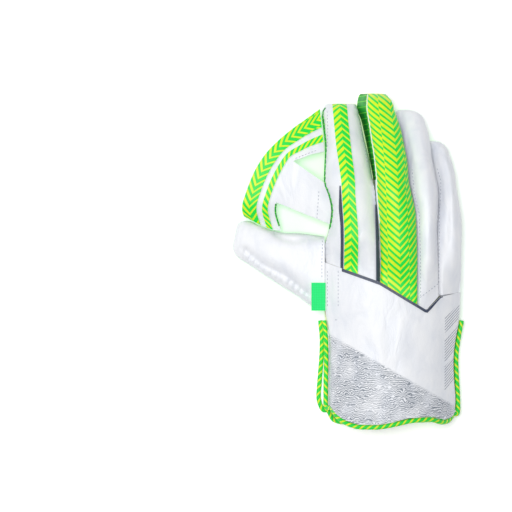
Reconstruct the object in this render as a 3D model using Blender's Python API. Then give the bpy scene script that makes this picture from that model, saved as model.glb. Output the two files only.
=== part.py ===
"""Right-hand wicketkeeping glove, lying palm down with its fingers towards +Y and its thumb towards -X.

The back of each finger is one padded shell that runs on over the back of the hand. Under them lies the
rubber palm, and a cuff of two halves with corded rims closes the wrist. Lengths are in metres.
"""
import math

import bmesh
import bpy
from mathutils import Vector

# Overall sizes
GLOVE_LENGTH = 0.320  # cuff rim to the middle finger's tip
HAND_WIDTH = 0.130  # across the four fingers' roots
ARCH_HEIGHT = 0.082  # highest knuckle over the table
THUMB_REACH = 0.087  # thumb's tip out from the index finger's side

# Walls and pads
BACK_WALLS = {"index": 0.005, "middle": 0.005, "ring": 0.004, "little": 0.0032}
THUMB_WALL = 0.004
CUFF_WALL = 0.005
RUBBER_WALL = 0.003
WEB_LEATHER = 0.0022
WEB_RUBBER = 0.0024
BAND_WALL = 0.0008
LIP_DEPTH = 0.009  # how far a back panel turns in beside its neighbour
FINGER_PAD = 0.0045  # swell of a finger's rubber front
PALM_PAD = 0.0022
HAND_SWELL = 0.6  # share of the swell that is left where a finger's front joins the palm

# Small pieces
PIPING_RADIUS = 0.0023
TRIM_WIDTH = 0.0028
TAB_WIDTH = 0.0133
TAB_LENGTH = 0.0266
TAB_WALL = 0.0012
TAB_DROOP = 0.0008
TAB_SEAT = 0.0005  # how far it reaches in over the cuff's rounded shoulder

# Clearances
SEAM_GAP = 0.0006  # between two sewn pieces
LAID_GAP = 0.0005  # under a band laid on leather
PIPING_GAP = 0.0008  # between a rim and its cord
WRIST_GAP = 0.0018  # between the finger backs and the cuff
GUSSET_GAP = 0.0008  # between the index finger and the middle finger's flared side

# Divisions of the meshes
ARCH_STEPS = 12
FRONT_STEPS = 5
DOME_STEPS = 5
HAND_STEPS = (0.0, 0.07, 0.2, 0.34, 0.48, 0.6, 0.68, 0.76, 0.88, 1.0)
PALM_STEPS = (0.0, 0.07, 0.16, 0.28, 0.42, 0.56, 0.70, 0.85, 1.0)
STATION_SPACING = 0.032  # between two sections of a finger, share of the length
PIPING_STATIONS = 5
TAB_STEPS = 2

SIDE_SEAM = 0.145  # height share of the seam between the cuff's halves
CROTCH = 0.734  # length share at which the fingers part
THUMB_CROTCH = 0.575
CROWN_SHARES = (0.26, 0.74)  # where a finger back's flat crown starts and ends across it
OUTER_EDGE = 1.013  # the little finger's side, share of the hand's width from the index finger's side
INDEX_X = 0.5 * (THUMB_REACH - OUTER_EDGE * HAND_WIDTH)

# Seams between the fingers, from the thumb's side on. Shares: v of the length, before and after of the
# hand's width (the edges on either side of the seam), seam height of the arch.
SEAM_LINES = [
    [(0.956, -0.044, -0.044, 0.112), (0.911, -0.020, -0.020, 0.150), (0.837, 0.004, 0.004, 0.310),
     (0.734, -0.010, -0.010, 0.460), (0.686, 0.028, 0.028, 0.440), (0.645, 0.046, 0.046, 0.390),
     (0.589, 0.030, 0.030, 0.320), (0.541, 0.002, 0.002, 0.260), (0.497, 0.002, 0.002, 0.215),
     (0.379, 0.000, 0.000, 0.150), (0.287, 0.010, 0.010, 0.140)],
    [(0.979, 0.200, 0.305, 0.108), (0.926, 0.262, 0.312, 0.137), (0.882, 0.287, 0.322, 0.220),
     (0.793, 0.326, 0.350, 0.410), (0.734, 0.352, 0.362, 0.490), (0.700, 0.366, 0.366, 0.490),
     (0.589, 0.385, 0.385, 0.390), (0.497, 0.397, 0.397, 0.250), (0.433, 0.394, 0.394, 0.195),
     (0.287, 0.400, 0.400, 0.110)],
    [(0.979, 0.497, 0.540, 0.108), (0.926, 0.540, 0.562, 0.137), (0.882, 0.572, 0.582, 0.220),
     (0.793, 0.609, 0.619, 0.410), (0.734, 0.620, 0.628, 0.490), (0.700, 0.629, 0.629, 0.490),
     (0.645, 0.655, 0.655, 0.450), (0.589, 0.664, 0.664, 0.380), (0.497, 0.672, 0.672, 0.240),
     (0.365, 0.678, 0.678, 0.140), (0.287, 0.680, 0.680, 0.110)],
    [(0.911, 0.752, 0.790, 0.112), (0.861, 0.783, 0.806, 0.137), (0.793, 0.803, 0.820, 0.220),
     (0.734, 0.830, 0.842, 0.310), (0.700, 0.843, 0.843, 0.330), (0.645, 0.835, 0.835, 0.300),
     (0.589, 0.828, 0.828, 0.250), (0.497, 0.832, 0.832, 0.180), (0.388, 0.839, 0.839, 0.140),
     (0.287, 0.840, 0.840, 0.120)],
    [(0.855, 0.890, 0.890, 0.112), (0.822, 0.925, 0.925, 0.112), (0.793, 0.952, 0.952, 0.120),
     (0.757, 0.974, 0.974, 0.120), (0.710, 0.984, 0.984, 0.130), (0.675, 0.998, 0.998, 0.125),
     (0.630, 1.018, 1.018, 0.115), (0.589, 1.027, 1.027, 0.110), (0.491, 1.019, 1.019, 0.110),
     (0.379, 1.006, 1.006, 0.130), (0.287, 0.987, 0.987, 0.140)],
]
SEAM_LEAN = (0.0, -0.007, -0.044, -0.088, -0.044)  # seam's foot against its shoulder, shares of the width
SEAM_ENDS = (0.491, 0.433, 0.3635, 0.388, 0.402)  # length shares at which the finger backs meet the cuff

# Heights of the finger backs. Shares: v of the length, the others of the arch's height. The first row is
# where the finger's round end starts.
FINGERS = {
    "index": [(0.930, 0.34, 0.49, 0.38), (0.882, 0.44, 0.61, 0.49), (0.793, 0.585, 0.79, 0.66),
              (0.734, 0.64, 0.88, 0.75), (0.686, 0.65, 0.90, 0.78), (0.589, 0.61, 0.865, 0.79),
              (0.497, 0.57, 0.80, 0.76), (0.433, 0.55, 0.74, 0.74)],
    "middle": [(0.948, 0.46, 0.53, 0.44), (0.882, 0.61, 0.695, 0.585), (0.793, 0.768, 0.878, 0.756),
               (0.734, 0.84, 0.975, 0.83), (0.686, 0.855, 1.02, 0.85), (0.589, 0.84, 0.965, 0.84),
               (0.497, 0.80, 0.90, 0.80), (0.399, 0.75, 0.79, 0.74)],
    "ring": [(0.905, 0.40, 0.47, 0.34), (0.882, 0.46, 0.537, 0.38), (0.793, 0.61, 0.70, 0.46),
             (0.734, 0.70, 0.81, 0.52), (0.686, 0.73, 0.845, 0.56), (0.589, 0.75, 0.855, 0.60),
             (0.497, 0.74, 0.81, 0.61), (0.377, 0.70, 0.74, 0.60)],
    "little": [(0.815, 0.32, 0.40, 0.20), (0.793, 0.366, 0.463, 0.22), (0.734, 0.44, 0.56, 0.27),
               (0.686, 0.49, 0.61, 0.305), (0.589, 0.55, 0.63, 0.34), (0.497, 0.57, 0.61, 0.366),
               (0.395, 0.58, 0.585, 0.366)],
}
TIP_LENGTH = {"index": 0.038, "middle": 0.050, "ring": 0.044, "little": 0.040}  # shares of the length
TIP_WIDTH = {"index": 0.72, "middle": 0.78, "ring": 0.68, "little": 0.64}
TIP_LEAN = {"index": 0.004, "middle": -0.002, "ring": -0.008, "little": -0.012}  # shares of the length

# The thumb from its root to where its round end starts. Shares: x of the thumb's reach, v of the length,
# the heights of the arch. The wrist edge runs to the cuff, the web edge to the web.
THUMB_ROWS = [  # wrist x, wrist v, web x, web v, wrist foot, wrist shoulder, crown, web shoulder, web foot
    (-0.006, 0.346, -0.006, 0.568, 0.145, 0.36, 0.50, 0.47, 0.285),
    (-0.160, 0.362, -0.150, 0.574, 0.130, 0.35, 0.50, 0.46, 0.235),
    (-0.305, 0.391, -0.295, 0.577, 0.118, 0.34, 0.50, 0.45, 0.190),
    (-0.450, 0.415, -0.430, 0.579, 0.108, 0.33, 0.49, 0.43, 0.155),
    (-0.630, 0.447, -0.570, 0.585, 0.102, 0.31, 0.47, 0.41, 0.130),
    (-0.790, 0.476, -0.690, 0.597, 0.100, 0.28, 0.43, 0.37, 0.115),
    (-0.880, 0.492, -0.790, 0.611, 0.098, 0.25, 0.39, 0.33, 0.110),
]
THUMB_TIP = 0.0145
THUMB_TIP_WIDTH = 0.42
THUMB_TIP_DROP = 0.001

# The web's crescent, from the index finger's tip round to the thumb's tip, and its bar. Shares: x of the
# thumb's reach, v of the length, heights of the arch.
WEB_ROWS = [  # outer x, outer v, outer height, inner x, inner v, inner height
    (-0.050, 0.950, 0.24, -0.005, 0.820, 0.475),
    (-0.197, 0.920, 0.30, -0.153, 0.811, 0.465),
    (-0.355, 0.889, 0.33, -0.257, 0.800, 0.450),
    (-0.524, 0.850, 0.35, -0.341, 0.791, 0.435),
    (-0.666, 0.808, 0.36, -0.415, 0.754, 0.420),
    (-0.786, 0.753, 0.355, -0.480, 0.712, 0.400),
    (-0.890, 0.678, 0.33, -0.530, 0.669, 0.370),
    (-0.906, 0.651, 0.30, -0.540, 0.643, 0.330),
    (-0.895, 0.633, 0.26, -0.520, 0.618, 0.285),
]
WEB_FOOT = [  # x, v, height: along the thumb's upper edge, from its tip in
    (-0.872, 0.6255, 0.215), (-0.790, 0.6145, 0.215), (-0.690, 0.6003, 0.220), (-0.570, 0.5883, 0.225),
    (-0.478, 0.5845, 0.235),
]
WEB_BREAKS = (0.0, 0.22, 0.43, 0.60, 0.77, 1.0)  # shares across the crescent
BAR_ROWS = (3, 6)  # the crescent's rows that the bar springs from
BAR_INDEX_V = (0.727, 0.686, 0.645, 0.604)
BAR_INDEX_HEIGHT = (0.56, 0.555, 0.54, 0.50)
BAR_STEPS = 4
BAR_SAG = 0.0015

# The woven bands on the index finger. Shares: v of the length, edges of the hand's width.
INDEX_BAND = [(0.96, 0.060, 0.160), (0.84, 0.083, 0.183), (0.737, 0.113, 0.209), (0.686, 0.124, 0.214),
              (0.589, 0.140, 0.234), (0.44, 0.142, 0.238)]
INDEX_TRIM = [(0.716, 0.104, 0.110), (0.65, 0.104, 0.122), (0.589, 0.114, 0.132), (0.44, 0.116, 0.134)]

# The cuff. Shares: v of the length, edges of the hand's width.
CUFF_EDGES = [  # the last column is the palm half's own left edge
    (0.500, 0.000, 1.019, 0.000), (0.379, 0.000, 1.006, 0.000), (0.340, 0.010, 1.002, 0.010),
    (0.305, 0.028, 0.992, 0.028), (0.250, 0.038, 0.966, 0.036), (0.200, 0.040, 0.954, 0.032),
    (0.142, 0.037, 0.958, 0.020), (0.083, 0.036, 0.968, 0.012), (0.0, 0.036, 0.962, 0.010)]
CUFF_CROWN = 0.75
CUFF_SHOULDER = (0.50, 0.55)  # the thumb side's height at the cuff's middle and at its top
CUFF_RIDGE = (0.24, 0.62)  # where the crown starts and ends across the cuff
CUFF_SLOPE = (0.86, 0.61)  # the outer slope's corner, across and up
CUFF_OUTER_SIDE = 0.36
PALM_TOP = 0.287  # where the rubber palm ends
PALM_CUFF_TOP = 0.283
BACK_RIM = [(0.00, 0.100), (0.030, 0.068), (0.08, 0.040), (0.15, 0.022), (0.24, 0.012), (0.37, 0.012),
            (0.50, 0.020), (0.62, 0.030), (0.78, 0.034), (0.88, 0.024), (0.94, 0.030), (0.975, 0.052),
            (1.00, 0.085)]
PALM_RIM = [(0.00, 0.055), (0.02, 0.037), (0.06, 0.022), (0.12, 0.017), (0.3, 0.019), (0.5, 0.026),
            (0.7, 0.022), (0.90, 0.026), (0.95, 0.036), (0.98, 0.050), (1.00, 0.062)]
CUFF_KNOTS = (0.04, 0.09, 0.15, 0.22, 0.30, 0.394, 0.47, 0.54, 0.61, 0.678, 0.736, 0.785, 0.839, 0.885, 0.93,
              0.965)
WRIST_LINE = [(0.0, 0.491), (0.394, 0.433), (0.678, 0.3635), (0.736, 0.349), (0.839, 0.388), (1.0, 0.402)]
CUFF_WALL_STEPS = 3
PALM_CUFF_STEPS = (5, 16)
PALM_CORNER = 0.008
CUFF_ROWS = (0.0, 0.12, 0.24, 0.355, 0.395, 0.5, 0.62, 0.75, 0.88, 1.0)
PIPING_START = 0.315
PIPING_TURN = 0.025  # where a side's cord starts to turn under the rim, share of the length above the rim
BACK_CORD_SIDES = {-1: (0.0, 0.0018), 1: (0.0, 0.0028)}  # stand-off and lift at the left and right seam
PALM_CORD_SIDES = {-1: (0.0035, -0.0018), 1: (0.0, -0.0024)}
TRIM_SPAN = (0.13, 0.86)
TAB_PLACE = 0.388
TAB_HEIGHT = 0.52


def flat_x(share):
    """Where a share across the hand lies; negative shares reach out along the thumb."""
    return INDEX_X + share * (HAND_WIDTH if share >= 0 else THUMB_REACH)


def across_share(x):
    return (x - INDEX_X) / HAND_WIDTH


def flat_y(share):
    return (share - 0.5) * GLOVE_LENGTH


def length_share(y):
    return y / GLOVE_LENGTH + 0.5


def read_table(table, key, column):
    """Smooth value of one column at a key, from rows sorted either way by their first column."""
    rows = sorted(table)
    key = min(max(key, rows[0][0]), rows[-1][0])
    i = max(k for k in range(len(rows) - 1) if rows[k][0] <= key)
    low, high = rows[i], rows[i + 1]
    span = high[0] - low[0]
    chord = (high[column] - low[column]) / span
    before = rows[i - 1] if i > 0 else low
    after = rows[i + 2] if i + 2 < len(rows) else high
    slope_low = (high[column] - before[column]) / (high[0] - before[0])
    slope_high = (after[column] - low[column]) / (after[0] - low[0])
    if chord * slope_low <= 0:
        slope_low = 0.0
    if chord * slope_high <= 0:
        slope_high = 0.0
    t = (key - low[0]) / span
    return (low[column] * (2 * t ** 3 - 3 * t ** 2 + 1) + high[column] * (3 * t ** 2 - 2 * t ** 3)
            + span * (slope_low * (t ** 3 - 2 * t ** 2 + t) + slope_high * (t ** 3 - t ** 2)))


def read_line(table, key, column):
    """Straight-line value of one column at a key."""
    rows = sorted(table)
    for low, high in zip(rows, rows[1:]):
        if key <= high[0]:
            t = max(0.0, (key - low[0]) / (high[0] - low[0]))
            return low[column] + (high[column] - low[column]) * t
    return rows[-1][column]


def mix(a, b, t):
    return tuple(p + (q - p) * t for p, q in zip(a, b))


def offset_inward(line, distance):
    """The open line moved to its right by the distance, with mitred corners."""
    normals = []
    for (a0, z0), (a1, z1) in zip(line, line[1:]):
        length = math.hypot(a1 - a0, z1 - z0)
        normals.append(((z1 - z0) / length, (a0 - a1) / length))
    moved = []
    for i, (a, z) in enumerate(line):
        if i in (0, len(line) - 1):  # a foot stays at its own height
            moved.append((a + distance / normals[min(i, len(normals) - 1)][0], z))
            continue
        n0, n1 = normals[i - 1], normals[i]
        scale = distance / (1 + n0[0] * n1[0] + n0[1] * n1[1])
        moved.append((a + (n0[0] + n1[0]) * scale, z + (n0[1] + n1[1]) * scale))
    return moved


def cut_corners(line, times=3):
    """Round the corners of an open line, keeping its ends."""
    for _ in range(times):
        points = [line[0]]
        for i, (p, q) in enumerate(zip(line, line[1:])):
            if i > 0:
                points.append(mix(p, q, 0.25))
            if i < len(line) - 2:
                points.append(mix(p, q, 0.75))
        line = points + [line[-1]]
    return line


def arc_shares(line):
    lengths = [0.0]
    for p, q in zip(line, line[1:]):
        lengths.append(lengths[-1] + math.dist(p, q))
    return [length / lengths[-1] for length in lengths]


def sample(line, shares):
    """Points on the line at shares of its length."""
    marks = arc_shares(line)
    points = []
    for share in shares:
        i = max(k for k in range(len(marks) - 1) if marks[k] <= share + 1e-9)
        points.append(mix(line[i], line[i + 1], (share - marks[i]) / (marks[i + 1] - marks[i])))
    return points


def even_shares(steps):
    return [i / steps for i in range(steps + 1)]


def arch_row(left, right, heights, leans, inset, shares, scale=(1.0, 1.0), shift=(0.0, 0.0, 0.0)):
    """One section of a padded back, from its left foot over the crown to its right foot.

    left and right are its shoulders in plan, heights are left foot, left shoulder, crown, right shoulder
    and right foot, leans are how far each foot stands right of its shoulder. scale narrows and lowers the
    section for a round end, and shift moves it.
    """
    run = (right[0] - left[0], right[1] - left[1])
    width = math.hypot(*run)
    foot_l, shoulder_l, crown, shoulder_r, foot_r = heights
    crown_start, crown_end = (share * width for share in CROWN_SHARES)
    line = [(leans[0], foot_l), (0.0, shoulder_l), (crown_start, crown), (crown_end, crown),
            (width, shoulder_r), (width + leans[1], foot_r)]
    inner = offset_inward(line, inset)

    def base(a):
        share = (a - leans[0]) / (width + leans[1] - leans[0])
        return foot_l + (foot_r - foot_l) * min(max(share, 0.0), 1.0)

    inner[0] = (inner[0][0], base(inner[0][0]))
    inner[-1] = (inner[-1][0], base(inner[-1][0]))
    row = []
    for share, (a, z) in zip(shares, sample(cut_corners(inner), shares)):
        level = inner[0][0] + (inner[-1][0] - inner[0][0]) * share
        height = (z - base(a)) * scale[1]
        a = level + (a - level) * scale[1]
        z = base(a) + height
        a = 0.5 * width + (a - 0.5 * width) * scale[0]
        row.append((left[0] + run[0] * a / width + shift[0], left[1] + run[1] * a / width + shift[1],
                    z + shift[2]))
    return row


def dome_steps(end_width):
    """Advance, width and height factors of a round end, from its start to its tip."""
    steps = []
    for i in range(1, DOME_STEPS + 1):
        angle = 0.5 * math.pi * i / DOME_STEPS
        fade = max(math.cos(angle), 0.0)
        steps.append((math.sin(angle), end_width + (1 - end_width) * fade ** 0.9, fade ** 0.75))
    return steps


def seam_x(line, v, after):
    return flat_x(read_table(SEAM_LINES[line], v, 2 if after else 1))


def seam_z(line, v):
    return read_table(SEAM_LINES[line], v, 3) * ARCH_HEIGHT


def lean_at(line, v, shoulder, foot):
    """How far the foot stands right of the shoulder, when it stops above the seam."""
    full = shoulder - seam_z(line, v)
    return SEAM_LEAN[line] * HAND_WIDTH * min((shoulder - foot) / full, 1.0)


def finger_section(name, k, v_left, v_right, lips):
    """Shoulders in plan, heights and leans of one section of a finger's back."""
    v = 0.5 * (v_left + v_right)
    left = (seam_x(k, v_left, True) + 0.5 * SEAM_GAP, flat_y(v_left))
    right = (seam_x(k + 1, v_right, False) - 0.5 * SEAM_GAP, flat_y(v_right))
    shoulder_l, crown, shoulder_r = (read_table(FINGERS[name], v, c) * ARCH_HEIGHT for c in (1, 2, 3))
    foot_l = shoulder_l - LIP_DEPTH if lips[0] else seam_z(k, v_left)
    foot_r = shoulder_r - LIP_DEPTH if lips[1] else seam_z(k + 1, v_right)
    lean_l = lean_at(k, v_left, shoulder_l, foot_l)
    if name == "middle" and not lips[0]:
        lean_l = min(lean_l, seam_x(k, v_left, False) - seam_x(k, v_left, True) + GUSSET_GAP)
    leans = (lean_l, lean_at(k + 1, v_right, shoulder_r, foot_r))
    return left, right, (foot_l, shoulder_l, crown, shoulder_r, foot_r), leans


def finger_plan(name, k):
    """Every section of a finger's back, from its tip to the cuff, as (section, scale, advance)."""
    start = FINGERS[name][0][0]
    tip = TIP_LENGTH[name]
    plan = []
    first = finger_section(name, k, start, start, (False, False))
    for advance, width, height in reversed(dome_steps(TIP_WIDTH[name])):
        drop = seam_z(k, start) - seam_z(k, start + tip * advance)
        plan.append((first, (width, height), (TIP_LEAN[name] * advance ** 2, tip * advance, -drop)))
    stations = max(2, round((start - CROTCH) / STATION_SPACING))
    for i in range(stations):
        v = start + (CROTCH - start) * i / stations
        plan.append((finger_section(name, k, v, v, (False, False)), (1.0, 1.0), None))
    for step in HAND_STEPS:
        v_left = CROTCH + (SEAM_ENDS[k] - CROTCH) * step
        v_right = CROTCH + (SEAM_ENDS[k + 1] - CROTCH) * step
        lip_left = v_left < THUMB_CROTCH if k == 0 else step > 0
        lip_right = k < 3 and step > 0
        plan.append((finger_section(name, k, v_left, v_right, (lip_left, lip_right)), (1.0, 1.0), None))
    return plan


def wrist_line(u):
    """Length share of the seam between the finger backs and the cuff."""
    return read_line(WRIST_LINE, u, 1)


def dip_to_wrist(row, step):
    """The section moved towards the cuff where the wrist's seam dips between the finger's own two seams."""
    ends = [(u, wrist_line(u)) for u in (across_share(row[0][0]), across_share(row[-1][0]))]
    moved = []
    for x, y, z in row:
        u = across_share(x)
        dip = wrist_line(u) - read_line(ends, u, 1)
        moved.append((x, y + dip * step * GLOVE_LENGTH, z))
    return moved


def finger_rows(name, k, inset):
    rows = []
    shares = even_shares(ARCH_STEPS)
    for (left, right, heights, leans), scale, advance in finger_plan(name, k):
        shift = (0.0, 0.0, 0.0)
        if advance:
            reach = advance[1] * GLOVE_LENGTH * (1 - inset / (TIP_LENGTH[name] * GLOVE_LENGTH))
            shift = (advance[0] * GLOVE_LENGTH, reach, advance[2])
        rows.append(arch_row(left, right, heights, leans, inset, shares, scale, shift))
    first = len(rows) - len(HAND_STEPS)
    return rows[:first] + [dip_to_wrist(row, step) for row, step in zip(rows[first:], HAND_STEPS)]


def leather(name, colour, roughness=0.5):
    material = bpy.data.materials.new(name)
    material.use_nodes = True
    shader = material.node_tree.nodes["Principled BSDF"]
    shader.inputs["Base Color"].default_value = (*colour, 1.0)
    shader.inputs["Roughness"].default_value = roughness
    material.diffuse_color = (*colour, 1.0)
    return material


def solid(name, top, bottom, quads, material):
    """A closed body between two sheets of points with the same faces."""
    count = len(top)
    faces = [half for a, b, c, d in quads for half in ((a, b, c), (a, c, d))]
    faces += [tuple(count + i for i in reversed(face)) for face in faces]
    edges = {(a, b) for face in quads for a, b in zip(face, face[1:] + face[:1])}
    for a, b in edges:
        if (b, a) not in edges:
            faces.append((b, a, count + a, count + b))
    mesh = bpy.data.meshes.new(name)
    mesh.from_pydata(list(top) + list(bottom), [], faces)
    shape = bmesh.new()
    shape.from_mesh(mesh)
    bmesh.ops.recalc_face_normals(shape, faces=shape.faces)
    if shape.calc_volume(signed=True) < 0:
        bmesh.ops.reverse_faces(shape, faces=shape.faces)
    shape.to_mesh(mesh)
    shape.free()
    mesh.materials.append(material)
    mesh.shade_smooth()
    mesh.set_sharp_from_angle(angle=math.radians(50))
    piece = bpy.data.objects.new(name, mesh)
    bpy.context.scene.collection.objects.link(piece)
    return piece


def grid_quads(rows, columns, start=0):
    quads = []
    for r in range(rows - 1):
        for c in range(columns - 1):
            i = start + r * columns + c
            quads.append((i, i + 1, i + columns + 1, i + columns))
    return quads


def grid_solid(name, top, bottom, material):
    flat_top = [point for row in top for point in row]
    flat_bottom = [point for row in bottom for point in row]
    return solid(name, flat_top, flat_bottom, grid_quads(len(top), len(top[0])), material)


def raise_row(row, height):
    return [(x, y, z + height) for x, y, z in row]


def at_x(row, x):
    """The point of a section at a given x, on its upper side."""
    for p, q in zip(row, row[1:]):
        if p[0] <= x <= q[0]:
            return mix(p, q, (x - p[0]) / (q[0] - p[0]))
    return row[-1] if x > row[-1][0] else row[0]


def stand_off(rows, distance):
    """The grid of points moved out along its own normals."""
    moved = []
    for r, row in enumerate(rows):
        line = []
        for c, point in enumerate(row):
            down = Vector(rows[min(r + 1, len(rows) - 1)][c]) - Vector(rows[max(r - 1, 0)][c])
            across = Vector(row[min(c + 1, len(row) - 1)]) - Vector(row[max(c - 1, 0)])
            line.append(tuple(Vector(point) + across.cross(down).normalized() * -distance))
        moved.append(line)
    return moved


def band_on(rows, table, steps):
    """Points of a band laid on a shell's sections, between the two edges that the table gives."""
    band = []
    for row in rows:
        v = length_share(row[len(row) // 2][1])
        left, right = (flat_x(read_table(table, v, c)) for c in (1, 2))
        band.append([at_x(row, left + (right - left) * i / steps) for i in range(steps + 1)])
    return band


def pad_swell(share):
    """Zero with no slope at both edges, one in the middle."""
    return 0.5 - 0.5 * math.cos(2 * math.pi * share)


def front_row(left, right, depth, steps):
    """Inner side of a rubber front between its two seams, swelling downwards by depth."""
    row = []
    for i in range(steps + 1):
        x, y, z = mix(left, right, i / steps)
        row.append((x, y, z - SEAM_GAP - depth * pad_swell(i / steps) ** 0.7))
    return row


def seam_point(line, v, side):
    """A point of the palm's seam line; side is -1 before the seam, 1 after it, 0 on it."""
    x = seam_x(line, v, side > 0) if side else 0.5 * (seam_x(line, v, True) + seam_x(line, v, False))
    return (x + SEAM_LEAN[line] * HAND_WIDTH + 0.5 * SEAM_GAP * side, flat_y(v), seam_z(line, v))


def palm_sheet():
    """Inner side of the rubber palm: four finger fronts that run together over the palm."""
    points = []
    quads = []
    width = 4 * FRONT_STEPS + 1
    for t in PALM_STEPS:
        v = CROTCH - (CROTCH - PALM_TOP) * t
        depth = HAND_SWELL * (FINGER_PAD * (1 - t) ** 2 + PALM_PAD * t)
        points += front_row(seam_point(0, v, 1), seam_point(1, v, 0), depth, FRONT_STEPS)
        for k in (1, 2):
            points += front_row(seam_point(k, v, 0), seam_point(k + 1, v, 0), depth, FRONT_STEPS)[1:]
        points += front_row(seam_point(3, v, 0), seam_point(4, v, -1), depth, FRONT_STEPS)[1:]
    quads += grid_quads(len(PALM_STEPS), width)
    for k, name in enumerate(FINGERS):
        above = [k * FRONT_STEPS + i for i in range(FRONT_STEPS + 1)]
        rows = finger_rows(name, k, 0.0)[:-len(HAND_STEPS)]
        for n, row in enumerate(reversed(rows)):
            tip = len(rows) - 1 - n
            depth = FINGER_PAD * min(1.0, HAND_SWELL + 0.2 * n) * min(1.0, tip / 3)
            first = len(points)
            points += front_row(row[0], row[-1], depth, FRONT_STEPS)
            below = list(range(first, first + FRONT_STEPS + 1))
            for i in range(FRONT_STEPS):
                quads.append((below[i], below[i + 1], above[i + 1], above[i]))
            above = below
    return points, quads


def thumb_rows(inset):
    """Sections of the thumb's back, from its root to its tip."""
    rows = []
    shares = even_shares(ARCH_STEPS)
    for i, (wx, wv, tx, tv, *heights) in enumerate(THUMB_ROWS):
        left = (flat_x(wx), flat_y(wv))
        right = (flat_x(tx), flat_y(tv))
        heights = [h * ARCH_HEIGHT for h in heights]
        rows.append(arch_row(left, right, heights, (0.0, 0.0), inset, shares))
    root = THUMB_ROWS[0]
    axis = (0.5 * (left[0] + right[0]) - flat_x(0.5 * (root[0] + root[2])),
            0.5 * (left[1] + right[1]) - flat_y(0.5 * (root[1] + root[3])))
    length = math.hypot(*axis)
    for advance, width, height in dome_steps(THUMB_TIP_WIDTH):
        reach = (THUMB_TIP - inset) * advance / length
        shift = (axis[0] * reach, axis[1] * reach, -THUMB_TIP_DROP * advance)
        rows.append(arch_row(left, right, heights, (0.0, 0.0), inset, shares, (width, height), shift))
    return rows


def thumb_front(rows):
    front = []
    for i, row in enumerate(rows):
        depth = FINGER_PAD * min(1.0, (len(rows) - 1 - i) / 4) * (0.35 + 0.65 * min(1.0, i / 4))
        front.append(front_row(row[0], row[-1], depth, FRONT_STEPS))
    return front


def web_points(lift):
    """Points and faces of the web: the crescent's grid, then the bar's."""
    points = []
    for ox, ov, oz, ix, iv, iz in WEB_ROWS:
        outer = (flat_x(ox), flat_y(ov), oz * ARCH_HEIGHT + lift)
        inner = (flat_x(ix), flat_y(iv), iz * ARCH_HEIGHT + lift)
        points += [mix(outer, inner, share) for share in WEB_BREAKS]
    foot = [(x, flat_x(x), flat_y(v), z * ARCH_HEIGHT + lift) for x, v, z in WEB_FOOT]
    for share in WEB_BREAKS:
        key = WEB_FOOT[0][0] + (WEB_FOOT[-1][0] - WEB_FOOT[0][0]) * share
        points.append(tuple(read_line(foot, key, c) for c in (1, 2, 3)))
    columns = len(WEB_BREAKS)
    quads = grid_quads(len(WEB_ROWS) + 1, columns)
    first, last = BAR_ROWS
    above = [row * columns + columns - 1 for row in range(first, last + 1)]
    ends = [(seam_x(0, v, True) - SEAM_GAP, flat_y(v), h * ARCH_HEIGHT + lift)
            for v, h in zip(BAR_INDEX_V, BAR_INDEX_HEIGHT)]
    roots = [points[i] for i in above]
    for step in range(1, BAR_STEPS + 1):
        start = len(points)
        t = step / BAR_STEPS
        sag = BAR_SAG * math.sin(math.pi * t)
        for root, end in zip(roots, ends):
            x, y, z = mix(root, end, t)
            points.append((x, y, z - sag))
        below = list(range(start, start + len(ends)))
        for i in range(len(ends) - 1):
            quads.append((below[i], below[i + 1], above[i + 1], above[i]))
        above = below
    return points, quads


def web_band(first, last):
    """Upper side of the crescent between two of its breaks."""
    columns = len(WEB_BREAKS)
    points, _ = web_points(WEB_LEATHER + LAID_GAP)
    rows = []
    for r in range(len(WEB_ROWS) + 1):
        rows.append(points[r * columns + first:r * columns + last + 1])
    return rows


def cuff_section(v, inset, shares=None):
    """Points of the cuff's back at one station, with the shares of its own knots where none are given."""
    left = flat_x(read_table(CUFF_EDGES, v, 1))
    right = flat_x(read_table(CUFF_EDGES, v, 2))
    width = right - left
    foot = SIDE_SEAM * ARCH_HEIGHT + 0.5 * SEAM_GAP
    ease = min(max((v - 0.2) / 0.2, 0.0), 1.0)
    shoulder = CUFF_SHOULDER[0] + (CUFF_SHOULDER[1] - CUFF_SHOULDER[0]) * ease
    crown = CUFF_CROWN * ARCH_HEIGHT
    line = [(left, foot), (left, shoulder * ARCH_HEIGHT),
            (left + CUFF_RIDGE[0] * width, crown), (left + CUFF_RIDGE[1] * width, crown),
            (left + CUFF_SLOPE[0] * width, CUFF_SLOPE[1] * ARCH_HEIGHT),
            (right, CUFF_OUTER_SIDE * ARCH_HEIGHT), (right, foot)]
    line = cut_corners(offset_inward(line, inset))
    if shares is None:
        marks = arc_shares(line)
        knots = [left + knot * width for knot in CUFF_KNOTS]
        inner = []
        for x in knots:
            inner.append(read_line([(a, mark) for (a, _), mark in zip(line, marks)], x, 1))
        before = [inner[0] * i / CUFF_WALL_STEPS for i in range(CUFF_WALL_STEPS)]
        after = [inner[-1] + (1 - inner[-1]) * i / 2 for i in range(1, 3)]
        shares = before + inner + after
    return sample(line, shares), shares


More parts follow.
